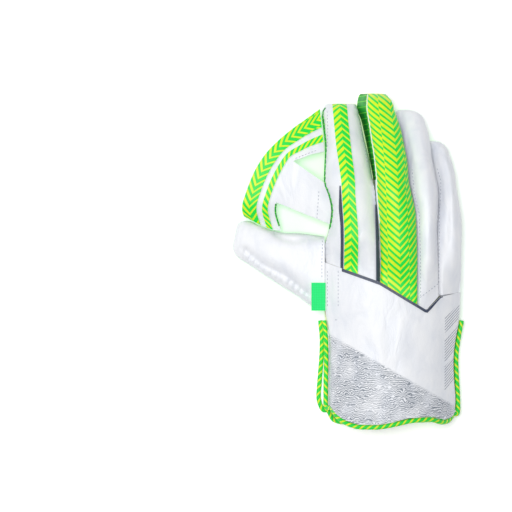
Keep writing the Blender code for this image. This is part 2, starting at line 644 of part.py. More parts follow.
def cuff_back_rows(inset):
    rows = []
    left, right = flat_x(0.0), flat_x(1.0)
    for t in CUFF_ROWS:
        _, shares = cuff_section(0.4 - 0.35 * t, 0.0)
        outer, _ = cuff_section(0.4 - 0.35 * t, 0.0, shares)
        inner, _ = cuff_section(0.4 - 0.35 * t, inset, shares)
        row = []
        for j in range(len(shares)):
            outer_u, inner_u = (min(max((line[j][0] - left) / (right - left), 0.0), 1.0)
                                for line in (outer, inner))
            top = wrist_line(inner_u) - WRIST_GAP / GLOVE_LENGTH
            v = top + (read_table(BACK_RIM, outer_u, 1) - top) * t
            points, _ = cuff_section(v, inset, shares)
            x, z = points[j]
            if j < CUFF_WALL_STEPS and v > THUMB_ROWS[0][1] - 0.008:
                edge = points[CUFF_WALL_STEPS][1]
                lip = CUFF_SHOULDER[1] * ARCH_HEIGHT - LIP_DEPTH
                z = edge + (z - edge) * (edge - lip) / (edge - points[0][1])
            row.append((x, flat_y(v), z))
        rows.append(row)
    return rows


def cuff_palm_rows(inset):
    """Sections of the cuff's palm half: a flat bottom with a wall up each side to the seam."""
    rows = []
    top = SIDE_SEAM * ARCH_HEIGHT - 0.5 * SEAM_GAP
    for r in range(PALM_CUFF_STEPS[0] + 1):
        row = []
        for share in even_shares(PALM_CUFF_STEPS[1]):
            v = PALM_CUFF_TOP
            for _ in range(3):  # the rim follows from x, and the edges follow from the rim
                left = flat_x(read_table(CUFF_EDGES, v, 3))
                right = flat_x(read_table(CUFF_EDGES, v, 2))
                line = [(right, top), (right, 0.35 * top), (right - PALM_CORNER, 0.0),
                        (left + PALM_CORNER, 0.0), (left, 0.35 * top), (left, top)]
                x = sample(cut_corners(line), [1 - share])[0][0]
                rim = read_table(PALM_RIM, (x - left) / (right - left), 1)
                v = PALM_CUFF_TOP + (rim - PALM_CUFF_TOP) * r / PALM_CUFF_STEPS[0]
            x, z = sample(cut_corners(offset_inward(line, inset)), [1 - share])[0]
            row.append((x, flat_y(v), z))
        rows.append(row)
    return rows


def wrist_trim(rows):
    """Upper and lower side of the raised line along the cuff's top edge."""
    line = [(a, mix(a, b, TRIM_WIDTH / math.dist(a, b))) for a, b in zip(rows[0], rows[1])
            if flat_x(TRIM_SPAN[0]) <= a[0] <= flat_x(TRIM_SPAN[1])]
    laid = [[upper for upper, _ in line], [lower for _, lower in line]]
    return stand_off(laid, LAID_GAP + BAND_WALL), stand_off(laid, LAID_GAP)


def tab_sheets():
    """Upper and lower side of the pull tab, sewn in at the cuff's thumb side."""
    top = []
    for share in even_shares(TAB_STEPS):
        x = flat_x(0.0) + TAB_SEAT - TAB_WIDTH * (1 - share)
        z = TAB_HEIGHT * ARCH_HEIGHT + TAB_DROOP * share ** 2
        top.append([(x, flat_y(TAB_PLACE) + 0.5 * TAB_LENGTH * side, z) for side in (1, -1)])
    return top, [raise_row(row, -TAB_WALL) for row in top]


def tube(name, path, radius, material, sides=3):
    curve = bpy.data.curves.new(name, "CURVE")
    curve.dimensions = "3D"
    curve.bevel_depth = radius
    curve.bevel_resolution = sides - 2
    curve.use_fill_caps = True
    spline = curve.splines.new("POLY")
    spline.points.add(len(path) - 1)
    for point, place in zip(spline.points, path):
        point.co = (*place, 1.0)
    curve.materials.append(material)
    piece = bpy.data.objects.new(name, curve)
    bpy.context.scene.collection.objects.link(piece)
    return piece


def smooth_path(points, steps):
    """Points of a smooth curve through the given ones."""
    path = []
    last = len(points) - 1
    for i in range(last):
        p0, p1, p2, p3 = (points[min(max(k, 0), last)] for k in (i - 1, i, i + 1, i + 2))
        for s in range(steps):
            t = s / steps
            path.append(tuple(0.5 * (2 * b + (c - a) * t + (2 * a - 5 * b + 4 * c - d) * t ** 2
                                     + (3 * b - a - 3 * c + d) * t ** 3)
                              for a, b, c, d in zip(p0, p1, p2, p3)))
    return path + [tuple(points[-1])]


def rim_path(outer, inner, sides, left_column):
    """Route of a corded rim: down one side seam, round the mouth's rim and up the other side seam.

    sides gives, for the left (-1) and the right (1) seam, how far the cord stands off and how high.
    """
    reach = PIPING_RADIUS + PIPING_GAP
    last, before = outer[-1], outer[-2]
    rim = []
    for j, point in enumerate(last):
        middle = mix(point, inner[-1][j], 0.5)
        along = Vector(last[min(j + 1, len(last) - 1)]) - Vector(last[max(j - 1, 0)])
        out = Vector(point) - Vector(before[j])
        out -= out.project(along)
        rim.append(tuple(Vector(middle) + out.normalized() * reach))
    runs = []
    for side, column in ((-1, 0), (1, -1)):
        x, y, z = last[column]
        off, lift = sides[side]
        run = []
        for share in even_shares(PIPING_STATIONS):
            v = PIPING_START + (length_share(y) + PIPING_TURN - PIPING_START) * share
            edge = flat_x(read_table(CUFF_EDGES, v, left_column if side < 0 else 2))
            run.append((edge + side * (reach + off), flat_y(v), z + lift))
        corner = 0.85 * reach
        run.append((x + side * corner, y - corner, z + 1.5 * lift))
        runs.append(run)
    return runs[0] + rim[1:-1] + runs[1][::-1]


for old in list(bpy.data.objects):
    bpy.data.objects.remove(old, do_unlink=True)

WHITE = leather("white_leather", (0.87, 0.88, 0.90))
GREEN = leather("green_rubber", (0.01, 0.85, 0.07))
WOVEN = leather("woven_green_yellow", (0.45, 0.86, 0.05))
DARK = leather("dark_trim", (0.05, 0.06, 0.10))
TAB_GREEN = leather("tab_cloth", (0.01, 0.80, 0.20), 0.7)

for number, finger in enumerate(FINGERS):
    panel = WOVEN if finger == "middle" else WHITE
    outer = finger_rows(finger, number, 0.0)
    inner = finger_rows(finger, number, BACK_WALLS[finger])
    grid_solid(f"{finger}_back", outer, inner, panel)

palm_points, palm_quads = palm_sheet()
palm_outer = [(x, y, z - RUBBER_WALL) for x, y, z in palm_points]
solid("palm_facing", palm_points, palm_outer, palm_quads, GREEN)

thumb_outer = thumb_rows(0.0)
grid_solid("thumb_back", thumb_outer, thumb_rows(THUMB_WALL), WHITE)
thumb_inside = thumb_front(thumb_outer)
grid_solid("thumb_facing", thumb_inside, [raise_row(row, -RUBBER_WALL) for row in thumb_inside], GREEN)

web_top, web_quads = web_points(WEB_LEATHER)
web_bottom, _ = web_points(0.0)
solid("web_back", web_top, web_bottom, web_quads, WHITE)
rubber_top, _ = web_points(-SEAM_GAP)
rubber_bottom, _ = web_points(-SEAM_GAP - WEB_RUBBER)
solid("web_facing", rubber_top, rubber_bottom, web_quads, GREEN)
for band_name, first_break, last_break in (("web_band_wide", 0, 2), ("web_band_narrow", 3, 4)):
    band_rows = web_band(first_break, last_break)
    grid_solid(band_name, [raise_row(row, BAND_WALL) for row in band_rows], band_rows, WOVEN)

index_outer = finger_rows("index", 0, 0.0)
for band_name, table, first_row, steps, panel in (("index_band", INDEX_BAND, 3, 4, WOVEN),
                                                  ("index_trim", INDEX_TRIM, -9, 1, DARK)):
    laid = band_on(index_outer[first_row:], table, steps)
    grid_solid(band_name, stand_off(laid, LAID_GAP + BAND_WALL), stand_off(laid, LAID_GAP), panel)

cuff_outer = cuff_back_rows(0.0)
cuff_inner = cuff_back_rows(CUFF_WALL)
grid_solid("back_cuff", cuff_outer, cuff_inner, WHITE)
palm_cuff_outer = cuff_palm_rows(0.0)
palm_cuff_inner = cuff_palm_rows(CUFF_WALL)
grid_solid("palm_cuff", palm_cuff_outer, palm_cuff_inner, WHITE)
back_route = rim_path(cuff_outer, cuff_inner, BACK_CORD_SIDES, 1)
palm_route = rim_path(palm_cuff_outer, palm_cuff_inner, PALM_CORD_SIDES, 3)
grid_solid("wrist_trim", *wrist_trim(cuff_outer), DARK)
grid_solid("wrist_tab", *tab_sheets(), TAB_GREEN)
tube("back_piping", smooth_path(back_route, 2), PIPING_RADIUS, WOVEN)
tube("palm_piping", smooth_path(palm_route, 2), PIPING_RADIUS, WOVEN)
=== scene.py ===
"""Looks of a right-hand wicketkeeping glove that lies palm down, fingers towards +Y and thumb towards -X."""
import math

import bmesh
import bpy
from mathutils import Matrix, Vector, noise
from mathutils.bvhtree import BVHTree


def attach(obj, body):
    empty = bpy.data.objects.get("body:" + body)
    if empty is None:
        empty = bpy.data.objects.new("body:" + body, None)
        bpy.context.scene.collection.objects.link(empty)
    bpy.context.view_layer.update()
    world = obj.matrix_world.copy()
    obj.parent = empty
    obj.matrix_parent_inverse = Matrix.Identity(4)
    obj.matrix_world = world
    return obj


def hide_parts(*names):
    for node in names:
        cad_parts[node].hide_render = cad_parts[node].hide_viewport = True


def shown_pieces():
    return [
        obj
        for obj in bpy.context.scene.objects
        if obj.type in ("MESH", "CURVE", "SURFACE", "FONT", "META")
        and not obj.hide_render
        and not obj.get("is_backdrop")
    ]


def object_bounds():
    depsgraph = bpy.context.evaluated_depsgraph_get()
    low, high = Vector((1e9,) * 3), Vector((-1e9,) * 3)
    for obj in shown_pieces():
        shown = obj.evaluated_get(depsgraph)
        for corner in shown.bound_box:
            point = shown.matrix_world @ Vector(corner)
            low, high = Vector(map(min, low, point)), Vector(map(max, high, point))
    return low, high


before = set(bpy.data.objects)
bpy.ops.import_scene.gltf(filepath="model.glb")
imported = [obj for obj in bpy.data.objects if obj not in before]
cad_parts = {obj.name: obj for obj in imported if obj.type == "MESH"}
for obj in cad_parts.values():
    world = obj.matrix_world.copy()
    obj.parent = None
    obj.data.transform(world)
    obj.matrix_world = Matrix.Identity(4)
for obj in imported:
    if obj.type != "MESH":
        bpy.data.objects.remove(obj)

cad_low, cad_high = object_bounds()


# Camera, lamps and floor
# The photograph looks straight down from about 2.5 m on a pair of gloves, and this one lies right of its
# middle. The table is a plain pale sheet of card, lit a little from below, under large soft lamps.
CAMERA_AXIS = (-0.0879, 0.0029)
CAMERA_HEIGHT = 2.55
GLOVE_MIDDLE = 0.05
VIEW_WIDTH = 0.486
SENSOR_WIDTH = 36.0


def linear(code):
    """An sRGB hex colour as linear light with full opacity."""
    channels = [int(code[i:i + 2], 16) / 255 for i in (0, 2, 4)]
    return (*(c / 12.92 if c <= 0.04045 else ((c + 0.055) / 1.055) ** 2.4 for c in channels), 1.0)


def add(tree, kind, inputs=None, **settings):
    """Add a node (ShaderNodeMath is "Math") with its settings. Inputs are values, or other nodes' outputs."""
    made = tree.nodes.new("ShaderNode" + kind)
    for key, value in settings.items():
        setattr(made, key, value)
    for key, value in (inputs or {}).items():
        if isinstance(value, bpy.types.NodeSocket):
            tree.links.new(value, made.inputs[key])
        else:
            made.inputs[key].default_value = value
    return made.outputs


def new_material(name, colour, roughness, **sockets):
    """A material with its even values set on the shader itself, and its node tree and shader."""
    material = bpy.data.materials.new(name)
    material.use_nodes = True
    tree = material.node_tree
    shader = tree.nodes["Principled BSDF"]
    shader.inputs["Base Color"].default_value = linear(colour)
    shader.inputs["Roughness"].default_value = roughness
    for key, value in sockets.items():
        shader.inputs[key.replace("_", " ")].default_value = value
    material.diffuse_color = linear(colour)
    return material, tree, shader


def surface(tree, shader, colour, *reliefs):
    """Join a pattern of colour, and reliefs, coarsest first, each a height, its depth and its strength."""
    tree.links.new(colour, shader.inputs["Base Color"])
    normal = shader.inputs["Normal"]
    for height, depth, strength in reliefs:
        inputs = {"Height": height, "Distance": depth, "Strength": strength}
        if normal.links:
            inputs["Normal"] = normal.links[0].from_socket
        tree.links.new(add(tree, "Bump", inputs)["Normal"], normal)


def link_object(name, data):
    piece = bpy.data.objects.new(name, data)
    bpy.context.scene.collection.objects.link(piece)
    return piece


def mesh_piece(name, points, faces, materials, paint=None):
    """A smooth object made of points and faces. paint gives the number of each face's material."""
    mesh = bpy.data.meshes.new(name)
    mesh.from_pydata(points, [], faces)
    for material in materials:
        mesh.materials.append(material)
    for face, number in zip(mesh.polygons, paint or ()):
        face.material_index = number
    mesh.shade_smooth()
    return link_object(name, mesh)


camera_data = bpy.data.cameras.new("camera")
camera_data.sensor_width = SENSOR_WIDTH
camera_data.lens = SENSOR_WIDTH * (CAMERA_HEIGHT - GLOVE_MIDDLE) / VIEW_WIDTH
camera = link_object("camera", camera_data)
camera.location = (*CAMERA_AXIS, CAMERA_HEIGHT)
bpy.context.scene.camera = camera
bpy.context.scene.view_settings.view_transform = "Standard"

for lamp_name, place, size, power in (
    ("overhead", (-0.3, 0.1, 3.0), 0.8, 55.0),
    ("window", (-1.5, 0.7, 1.3), 0.8, 8.0),
):
    lamp_data = bpy.data.lights.new(lamp_name, "AREA")
    lamp_data.size = size
    lamp_data.energy = power
    lamp = link_object(lamp_name, lamp_data)
    lamp.location = place
    lamp.rotation_euler = (-Vector(place)).to_track_quat("-Z", "Y").to_euler()

world = bpy.data.worlds.new("studio")
world.use_nodes = True
world.node_tree.nodes["Background"].inputs["Color"].default_value = linear("f6f8fb")
world.node_tree.nodes["Background"].inputs["Strength"].default_value = 0.31
bpy.context.scene.world = world

card, _, _ = new_material("matt_card", "f4f4f5", 0.9, Emission_Color=linear("ffffff"), Emission_Strength=0.3)
FLOOR_HALF = 6.0
FLOOR_GAP = 0.0002
corners = [(x * FLOOR_HALF, y * FLOOR_HALF, 0.0) for x, y in ((-1, -1), (1, -1), (1, 1), (-1, 1))]
floor = mesh_piece("floor", corners, [(0, 1, 2, 3)], (card,))
floor.location.z = cad_low.z - FLOOR_GAP
floor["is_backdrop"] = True


# Finger backs
# Each finger's back is one padded leather shell that is sewn to its neighbours and runs on over the hand to
# the wrist. The middle finger's is faced with a woven-look panel, and the rest are white grained leather.
GLOVE_LENGTH = 0.320
HAND_WIDTH = 0.130
ARCH_HEIGHT = 0.082
THUMB_REACH = 0.087
BACK_WALLS = {"index": 0.005, "middle": 0.005, "ring": 0.004, "little": 0.0032}
LIP_DEPTH = 0.009
SEAM_GAP = 0.0002
GUSSET_GAP = 0.0008
WALL_STEPS = 10
CROWN_STEPS = 30
TIP_ROWS = 14
HAND_ROWS = 72
ROW_SPACING = 0.0022
CROTCH = 0.734
LIP_GROWTH = 0.07
WRIST_BLEND = 0.62
WRIST_MARGIN = 0.003
SIDE_SEAM = 0.145
CUFF_EDGES = [
    (0.500, 0.000, 1.019, 0.000), (0.379, 0.000, 1.006, 0.000), (0.340, 0.010, 1.002, 0.010),
    (0.305, 0.028, 0.992, 0.028), (0.250, 0.038, 0.966, 0.036), (0.200, 0.040, 0.954, 0.032),
    (0.142, 0.037, 0.958, 0.020), (0.083, 0.036, 0.968, 0.012), (0.0, 0.036, 0.962, 0.010)]
CUFF_CROWN = 0.75
CUFF_SHOULDER = (0.50, 0.55)  # of the arch's height, at the mouth and at the wrist
CUFF_RIDGE = (0.24, 0.62)  # the crown's two edges, of the cuff's width
CUFF_SLOPE = (0.86, 0.61)  # of the cuff's width and of the arch's height
CUFF_OUTER_SIDE = 0.36
CUFF_SPREAD = (0.2, 0.4)  # length shares between which the shoulder rises
THUMB_SIDE_LIP = (0.60, 0.68)
CROWN_SHARES = (0.26, 0.74)
OUTER_EDGE = 1.013
INDEX_X = 0.5 * (THUMB_REACH - OUTER_EDGE * HAND_WIDTH)

# Seams between the fingers, from the thumb's side on. Shares: v of the length, before and after of the
# hand's width (the edges on either side of the seam), seam height of the arch.
SEAM_LINES = [
    [(0.956, -0.044, -0.044, 0.112), (0.911, -0.020, -0.020, 0.150), (0.837, 0.004, 0.004, 0.310),
     (0.734, -0.010, -0.010, 0.460), (0.686, 0.028, 0.028, 0.440), (0.645, 0.046, 0.046, 0.390),
     (0.589, 0.030, 0.030, 0.320), (0.541, 0.002, 0.002, 0.260), (0.497, 0.002, 0.002, 0.215),
     (0.379, 0.000, 0.000, 0.150), (0.287, 0.010, 0.010, 0.140)],
    [(0.979, 0.200, 0.305, 0.108), (0.926, 0.262, 0.312, 0.137), (0.882, 0.287, 0.322, 0.220),
     (0.793, 0.326, 0.350, 0.410), (0.734, 0.352, 0.362, 0.490), (0.700, 0.366, 0.366, 0.490),
     (0.589, 0.385, 0.385, 0.390), (0.497, 0.397, 0.397, 0.250), (0.433, 0.394, 0.394, 0.195),
     (0.287, 0.400, 0.400, 0.110)],
    [(0.979, 0.497, 0.540, 0.108), (0.926, 0.540, 0.562, 0.137), (0.882, 0.572, 0.582, 0.220),
     (0.793, 0.609, 0.619, 0.410), (0.734, 0.620, 0.628, 0.490), (0.700, 0.629, 0.629, 0.490),
     (0.645, 0.655, 0.655, 0.450), (0.589, 0.664, 0.664, 0.380), (0.497, 0.672, 0.672, 0.240),
     (0.365, 0.678, 0.678, 0.140), (0.287, 0.680, 0.680, 0.110)],
    [(0.911, 0.752, 0.790, 0.112), (0.861, 0.783, 0.806, 0.137), (0.793, 0.803, 0.820, 0.220),
     (0.734, 0.830, 0.842, 0.310), (0.700, 0.843, 0.843, 0.330), (0.645, 0.835, 0.835, 0.300),
     (0.589, 0.828, 0.828, 0.250), (0.497, 0.832, 0.832, 0.180), (0.388, 0.839, 0.839, 0.140),
     (0.287, 0.840, 0.840, 0.120)],
    [(0.855, 0.890, 0.890, 0.112), (0.822, 0.925, 0.925, 0.112), (0.793, 0.952, 0.952, 0.120),
     (0.757, 0.974, 0.974, 0.120), (0.710, 0.984, 0.984, 0.130), (0.675, 0.998, 0.998, 0.125),
     (0.630, 1.018, 1.018, 0.115), (0.589, 1.027, 1.027, 0.110), (0.491, 1.019, 1.019, 0.110),
     (0.379, 1.006, 1.006, 0.130), (0.287, 0.987, 0.987, 0.140)],
]
SEAM_LEAN = (0.0, -0.007, -0.044, -0.088, -0.044)
SEAM_ENDS = (0.491, 0.433, 0.3635, 0.388, 0.402)
WRIST_LINE = [(0.0, 0.491), (0.394, 0.433), (0.678, 0.3635), (0.736, 0.349), (0.839, 0.388), (1.0, 0.402)]

# Heights of the finger backs. Shares: v of the length, the others of the arch's height.
FINGERS = {
    "index": [(0.930, 0.34, 0.49, 0.38), (0.882, 0.44, 0.61, 0.49), (0.793, 0.585, 0.79, 0.66),
              (0.734, 0.64, 0.88, 0.75), (0.686, 0.65, 0.90, 0.78), (0.589, 0.61, 0.865, 0.79),
              (0.497, 0.57, 0.80, 0.76), (0.433, 0.55, 0.74, 0.74)],
    "middle": [(0.948, 0.46, 0.53, 0.44), (0.882, 0.61, 0.695, 0.585), (0.793, 0.768, 0.878, 0.756),
               (0.734, 0.84, 0.975, 0.83), (0.686, 0.855, 1.02, 0.85), (0.589, 0.84, 0.965, 0.84),
               (0.497, 0.80, 0.90, 0.80), (0.399, 0.75, 0.79, 0.74)],
    "ring": [(0.905, 0.40, 0.47, 0.34), (0.882, 0.46, 0.537, 0.38), (0.793, 0.61, 0.70, 0.46),
             (0.734, 0.70, 0.81, 0.52), (0.686, 0.73, 0.845, 0.56), (0.589, 0.75, 0.855, 0.60),
             (0.497, 0.74, 0.81, 0.61), (0.377, 0.70, 0.74, 0.60)],
    "little": [(0.815, 0.32, 0.40, 0.20), (0.793, 0.366, 0.463, 0.22), (0.734, 0.44, 0.56, 0.27),
               (0.686, 0.49, 0.61, 0.305), (0.589, 0.55, 0.63, 0.34), (0.497, 0.57, 0.61, 0.366),
               (0.395, 0.58, 0.585, 0.366)],
}
TIP_LENGTH = {"index": 0.038, "middle": 0.050, "ring": 0.044, "little": 0.040}
TIP_WIDTH = {"index": 0.72, "middle": 0.78, "ring": 0.68, "little": 0.64}
TIP_LEAN = {"index": 0.004, "middle": -0.002, "ring": -0.008, "little": -0.012}


def flat_x(share):
    """Where a share across the hand lies; negative shares reach out along the thumb."""
    return INDEX_X + share * (HAND_WIDTH if share >= 0 else THUMB_REACH)


def across_share(x):
    return (x - INDEX_X) / HAND_WIDTH


def flat_y(share):
    return (share - 0.5) * GLOVE_LENGTH


def length_share(y):
    return y / GLOVE_LENGTH + 0.5


def read_table(table, key, column):
    """Smooth value of one column at a key, from rows sorted either way by their first column."""
    rows = sorted(table)
    key = min(max(key, rows[0][0]), rows[-1][0])
    i = max(k for k in range(len(rows) - 1) if rows[k][0] <= key)
    low, high = rows[i], rows[i + 1]
    span = high[0] - low[0]
    chord = (high[column] - low[column]) / span
    before = rows[i - 1] if i > 0 else low
    after = rows[i + 2] if i + 2 < len(rows) else high
    slope_low = (high[column] - before[column]) / (high[0] - before[0])
    slope_high = (after[column] - low[column]) / (after[0] - low[0])
    if chord * slope_low <= 0:
        slope_low = 0.0
    if chord * slope_high <= 0:
        slope_high = 0.0
    t = (key - low[0]) / span
    return (low[column] * (2 * t ** 3 - 3 * t ** 2 + 1) + high[column] * (3 * t ** 2 - 2 * t ** 3)
            + span * (slope_low * (t ** 3 - 2 * t ** 2 + t) + slope_high * (t ** 3 - t ** 2)))


def read_line(table, key, column):
    """Straight-line value of one column at a key."""
    rows = sorted(table)
    for low, high in zip(rows, rows[1:]):
        if key <= high[0]:
            t = max(0.0, (key - low[0]) / (high[0] - low[0]))
            return low[column] + (high[column] - low[column]) * t
    return rows[-1][column]


def mix(a, b, t):
    return tuple(p + (q - p) * t for p, q in zip(a, b))


def clamp(value):
    return min(max(value, 0.0), 1.0)


def offset_inward(line, distance):
    """The open line moved to its right by the distance, with mitred corners."""
    normals = []
    for (a0, z0), (a1, z1) in zip(line, line[1:]):
        length = math.hypot(a1 - a0, z1 - z0)
        normals.append(((z1 - z0) / length, (a0 - a1) / length))
    moved = []
    for i, (a, z) in enumerate(line):
        if i in (0, len(line) - 1):
            moved.append((a + distance / normals[min(i, len(normals) - 1)][0], z))
            continue
        n0, n1 = normals[i - 1], normals[i]
        scale = distance / (1 + n0[0] * n1[0] + n0[1] * n1[1])
        moved.append((a + (n0[0] + n1[0]) * scale, z + (n0[1] + n1[1]) * scale))
    return moved


def cut_corners(line, times=4):
    """Round the corners of an open line, keeping its ends."""
    for _ in range(times):
        points = [line[0]]
        for i, (p, q) in enumerate(zip(line, line[1:])):
            if i > 0:
                points.append(mix(p, q, 0.25))
            if i < len(line) - 2:
                points.append(mix(p, q, 0.75))
        line = points + [line[-1]]
    return line


def arc_shares(line):
    lengths = [0.0]
    for p, q in zip(line, line[1:]):
        lengths.append(lengths[-1] + math.dist(p, q))
    return [length / lengths[-1] for length in lengths]


def sample(line, shares):
    """Points on the line at shares of its length."""
    marks = arc_shares(line)
    points = []
    for share in shares:
        i = max(k for k in range(len(marks) - 1) if marks[k] <= share + 1e-9)
        points.append(mix(line[i], line[i + 1], (share - marks[i]) / (marks[i + 1] - marks[i])))
    return points


def even_shares(steps):
    return [i / steps for i in range(steps + 1)]


def wall_and_crown_shares(line):
    """Shares of a section's length that put a fixed number of steps on each side wall and over the crown."""
    lengths = [math.dist(p, q) for p, q in zip(line, line[1:])]
    left = lengths[0] / sum(lengths)
    right = 1 - lengths[-1] / sum(lengths)
    return ([left * i / WALL_STEPS for i in range(WALL_STEPS)]
            + [left + (right - left) * i / CROWN_STEPS for i in range(CROWN_STEPS)]
            + [right + (1 - right) * i / WALL_STEPS for i in range(WALL_STEPS + 1)])


def arch_row(left, right, heights, leans, inset, scale=(1.0, 1.0), shift=(0.0, 0.0, 0.0)):
    """One section of a padded back, from its left foot over the crown to its right foot."""
    run = (right[0] - left[0], right[1] - left[1])
    width = math.hypot(*run)
    foot_l, shoulder_l, crown, shoulder_r, foot_r = heights
    line = [(leans[0], foot_l), (0.0, shoulder_l), *((share * width, crown) for share in CROWN_SHARES),
            (width, shoulder_r), (width + leans[1], foot_r)]
    shares = wall_and_crown_shares(line)
    inner = offset_inward(line, inset)

    def base(a):
        share = (a - leans[0]) / (width + leans[1] - leans[0])
        return foot_l + (foot_r - foot_l) * clamp(share)

    inner[0] = (inner[0][0], base(inner[0][0]))
    inner[-1] = (inner[-1][0], base(inner[-1][0]))
    row = []
    for share, (a, z) in zip(shares, sample(cut_corners(inner), shares)):
        level = inner[0][0] + (inner[-1][0] - inner[0][0]) * share
        height = (z - base(a)) * scale[1]
        a = level + (a - level) * scale[1]
        z = base(a) + height
        a = 0.5 * width + (a - 0.5 * width) * scale[0]
        row.append((left[0] + run[0] * a / width + shift[0], left[1] + run[1] * a / width + shift[1],
                    z + shift[2]))
    return row


def dome_steps(end_width):
    """Advance, width and height factors of a round end, from its start to its tip."""
    steps = []
    for i in range(1, TIP_ROWS + 1):
        angle = 0.5 * math.pi * i / TIP_ROWS
        fade = max(math.cos(angle), 0.0)
        steps.append((math.sin(angle), end_width + (1 - end_width) * fade ** 0.9, fade ** 0.75))
    return steps


def seam_x(line, v, after):
    return flat_x(read_table(SEAM_LINES[line], v, 2 if after else 1))


def seam_z(line, v):
    return read_table(SEAM_LINES[line], v, 3) * ARCH_HEIGHT


def lean_at(line, v, shoulder, foot):
    """How far the foot stands right of the shoulder, when it stops above the seam."""
    full = shoulder - seam_z(line, v)
    return SEAM_LEAN[line] * HAND_WIDTH * min((shoulder - foot) / full, 1.0)


def finger_section(name, k, v_left, v_right, lips):
    """Shoulders in plan, heights and leans of one section of a finger's back."""
    v = 0.5 * (v_left + v_right)
    left = (seam_x(k, v_left, True) + 0.5 * SEAM_GAP, flat_y(v_left))
    right = (seam_x(k + 1, v_right, False) - 0.5 * SEAM_GAP, flat_y(v_right))
    shoulder_l, crown, shoulder_r = (read_table(FINGERS[name], v, c) * ARCH_HEIGHT for c in (1, 2, 3))
    foot_l = seam_z(k, v_left) + (shoulder_l - LIP_DEPTH - seam_z(k, v_left)) * lips[0]
    foot_r = seam_z(k + 1, v_right) + (shoulder_r - LIP_DEPTH - seam_z(k + 1, v_right)) * lips[1]
    lean_l = lean_at(k, v_left, shoulder_l, foot_l)
    if name == "middle":
        flare = min(0.0, seam_x(k, v_left, False) - seam_x(k, v_left, True) + GUSSET_GAP - lean_l)
        lean_l += flare * (1 - lips[0])
    leans = (lean_l, lean_at(k + 1, v_right, shoulder_r, foot_r))
    return left, right, (foot_l, shoulder_l, crown, shoulder_r, foot_r), leans


def finger_plan(name, k):
    """Every section of a finger's back, from its tip to the cuff, as (section, scale, advance)."""
    start = FINGERS[name][0][0]
    tip = TIP_LENGTH[name]
    plan = []
    first = finger_section(name, k, start, start, (0.0, 0.0))
    for advance, width, height in reversed(dome_steps(TIP_WIDTH[name])):
        drop = seam_z(k, start) - seam_z(k, start + tip * advance)
        plan.append((first, (width, height), (TIP_LEAN[name] * advance ** 2, tip * advance, -drop)))
    stations = round((start - CROTCH) * GLOVE_LENGTH / ROW_SPACING)
    for i in range(stations):
        v = start + (CROTCH - start) * i / stations
        plan.append((finger_section(name, k, v, v, (0.0, 0.0)), (1.0, 1.0), None))
    for step in even_shares(HAND_ROWS):
        v_left = CROTCH + (SEAM_ENDS[k] - CROTCH) * step
        v_right = CROTCH + (SEAM_ENDS[k + 1] - CROTCH) * step
        grown = clamp(step / LIP_GROWTH)
        thumb_side = clamp((step - THUMB_SIDE_LIP[0]) / (THUMB_SIDE_LIP[1] - THUMB_SIDE_LIP[0]))
        lips = (thumb_side if k == 0 else grown, grown if k < 3 else 0.0)
        plan.append((finger_section(name, k, v_left, v_right, lips), (1.0, 1.0), None))
    return plan


def cuff_profile(v, inset):
    """Section of the cuff's back at one station, from its left foot over the crown to its right foot."""
    left = flat_x(read_table(CUFF_EDGES, v, 1))
    right = flat_x(read_table(CUFF_EDGES, v, 2))
    width = right - left
    foot = SIDE_SEAM * ARCH_HEIGHT + 0.5 * SEAM_GAP
    low, high = CUFF_SHOULDER
    ease = clamp((v - CUFF_SPREAD[0]) / (CUFF_SPREAD[1] - CUFF_SPREAD[0]))
    line = [(left, foot), (left, (low + (high - low) * ease) * ARCH_HEIGHT),
            *((left + share * width, CUFF_CROWN * ARCH_HEIGHT) for share in CUFF_RIDGE),
            (left + CUFF_SLOPE[0] * width, CUFF_SLOPE[1] * ARCH_HEIGHT),
            (right, CUFF_OUTER_SIDE * ARCH_HEIGHT), (right, foot)]
    return cut_corners(offset_inward(line, inset), 3)


def wrist_line(u):
    """Length share of the seam between the finger backs and the cuff."""
    return read_line(WRIST_LINE, u, 1)


def meet_cuff(row, inset, step):
    """The section carried over into the cuff's own surface as it comes near the wrist's seam."""
    ends = [(u, wrist_line(u)) for u in (across_share(row[0][0]), across_share(row[-1][0]))]
    ease = clamp((step - WRIST_BLEND) / (1 - WRIST_BLEND))
    ease = ease * ease * (3 - 2 * ease)
    moved, rises = [], []
    for x, y, z in row:
        u = across_share(x)
        y += (wrist_line(u) - read_line(ends, u, 1)) * step * GLOVE_LENGTH
        profile = cuff_profile(length_share(y), inset)
        x_in = min(max(x, profile[0][0] + WRIST_MARGIN), profile[-1][0] - WRIST_MARGIN)
        rises.append((read_line(profile, x_in, 1) - z) * ease)
        moved.append((x, y, z))
    flat = range(WALL_STEPS + 2, len(row) - WALL_STEPS - 2)
    return [(x, y, z + rises[min(max(i, flat[0]), flat[-1])]) for i, (x, y, z) in enumerate(moved)]


def finger_rows(name, k, inset):
    rows = []
    for (left, right, heights, leans), scale, advance in finger_plan(name, k):
        shift = (0.0, 0.0, 0.0)
        if advance:
            reach = advance[1] * GLOVE_LENGTH * (1 - inset / (TIP_LENGTH[name] * GLOVE_LENGTH))
            shift = (advance[0] * GLOVE_LENGTH, reach, advance[2])
        rows.append(arch_row(left, right, heights, leans, inset, scale, shift))
    first = len(rows) - HAND_ROWS - 1
    return rows[:first] + [meet_cuff(row, inset, i / HAND_ROWS) for i, row in enumerate(rows[first:])]


def stand_off(rows, distance):
    """The grid of points moved out along its own normals."""
    moved = []
    for r, row in enumerate(rows):
        line = []
        for c, point in enumerate(row):
            down = Vector(rows[min(r + 1, len(rows) - 1)][c]) - Vector(rows[max(r - 1, 0)][c])
            across = Vector(row[min(c + 1, len(row) - 1)]) - Vector(row[max(c - 1, 0)])
            line.append(tuple(Vector(point) + across.cross(down).normalized() * -distance))
        moved.append(line)
    return moved


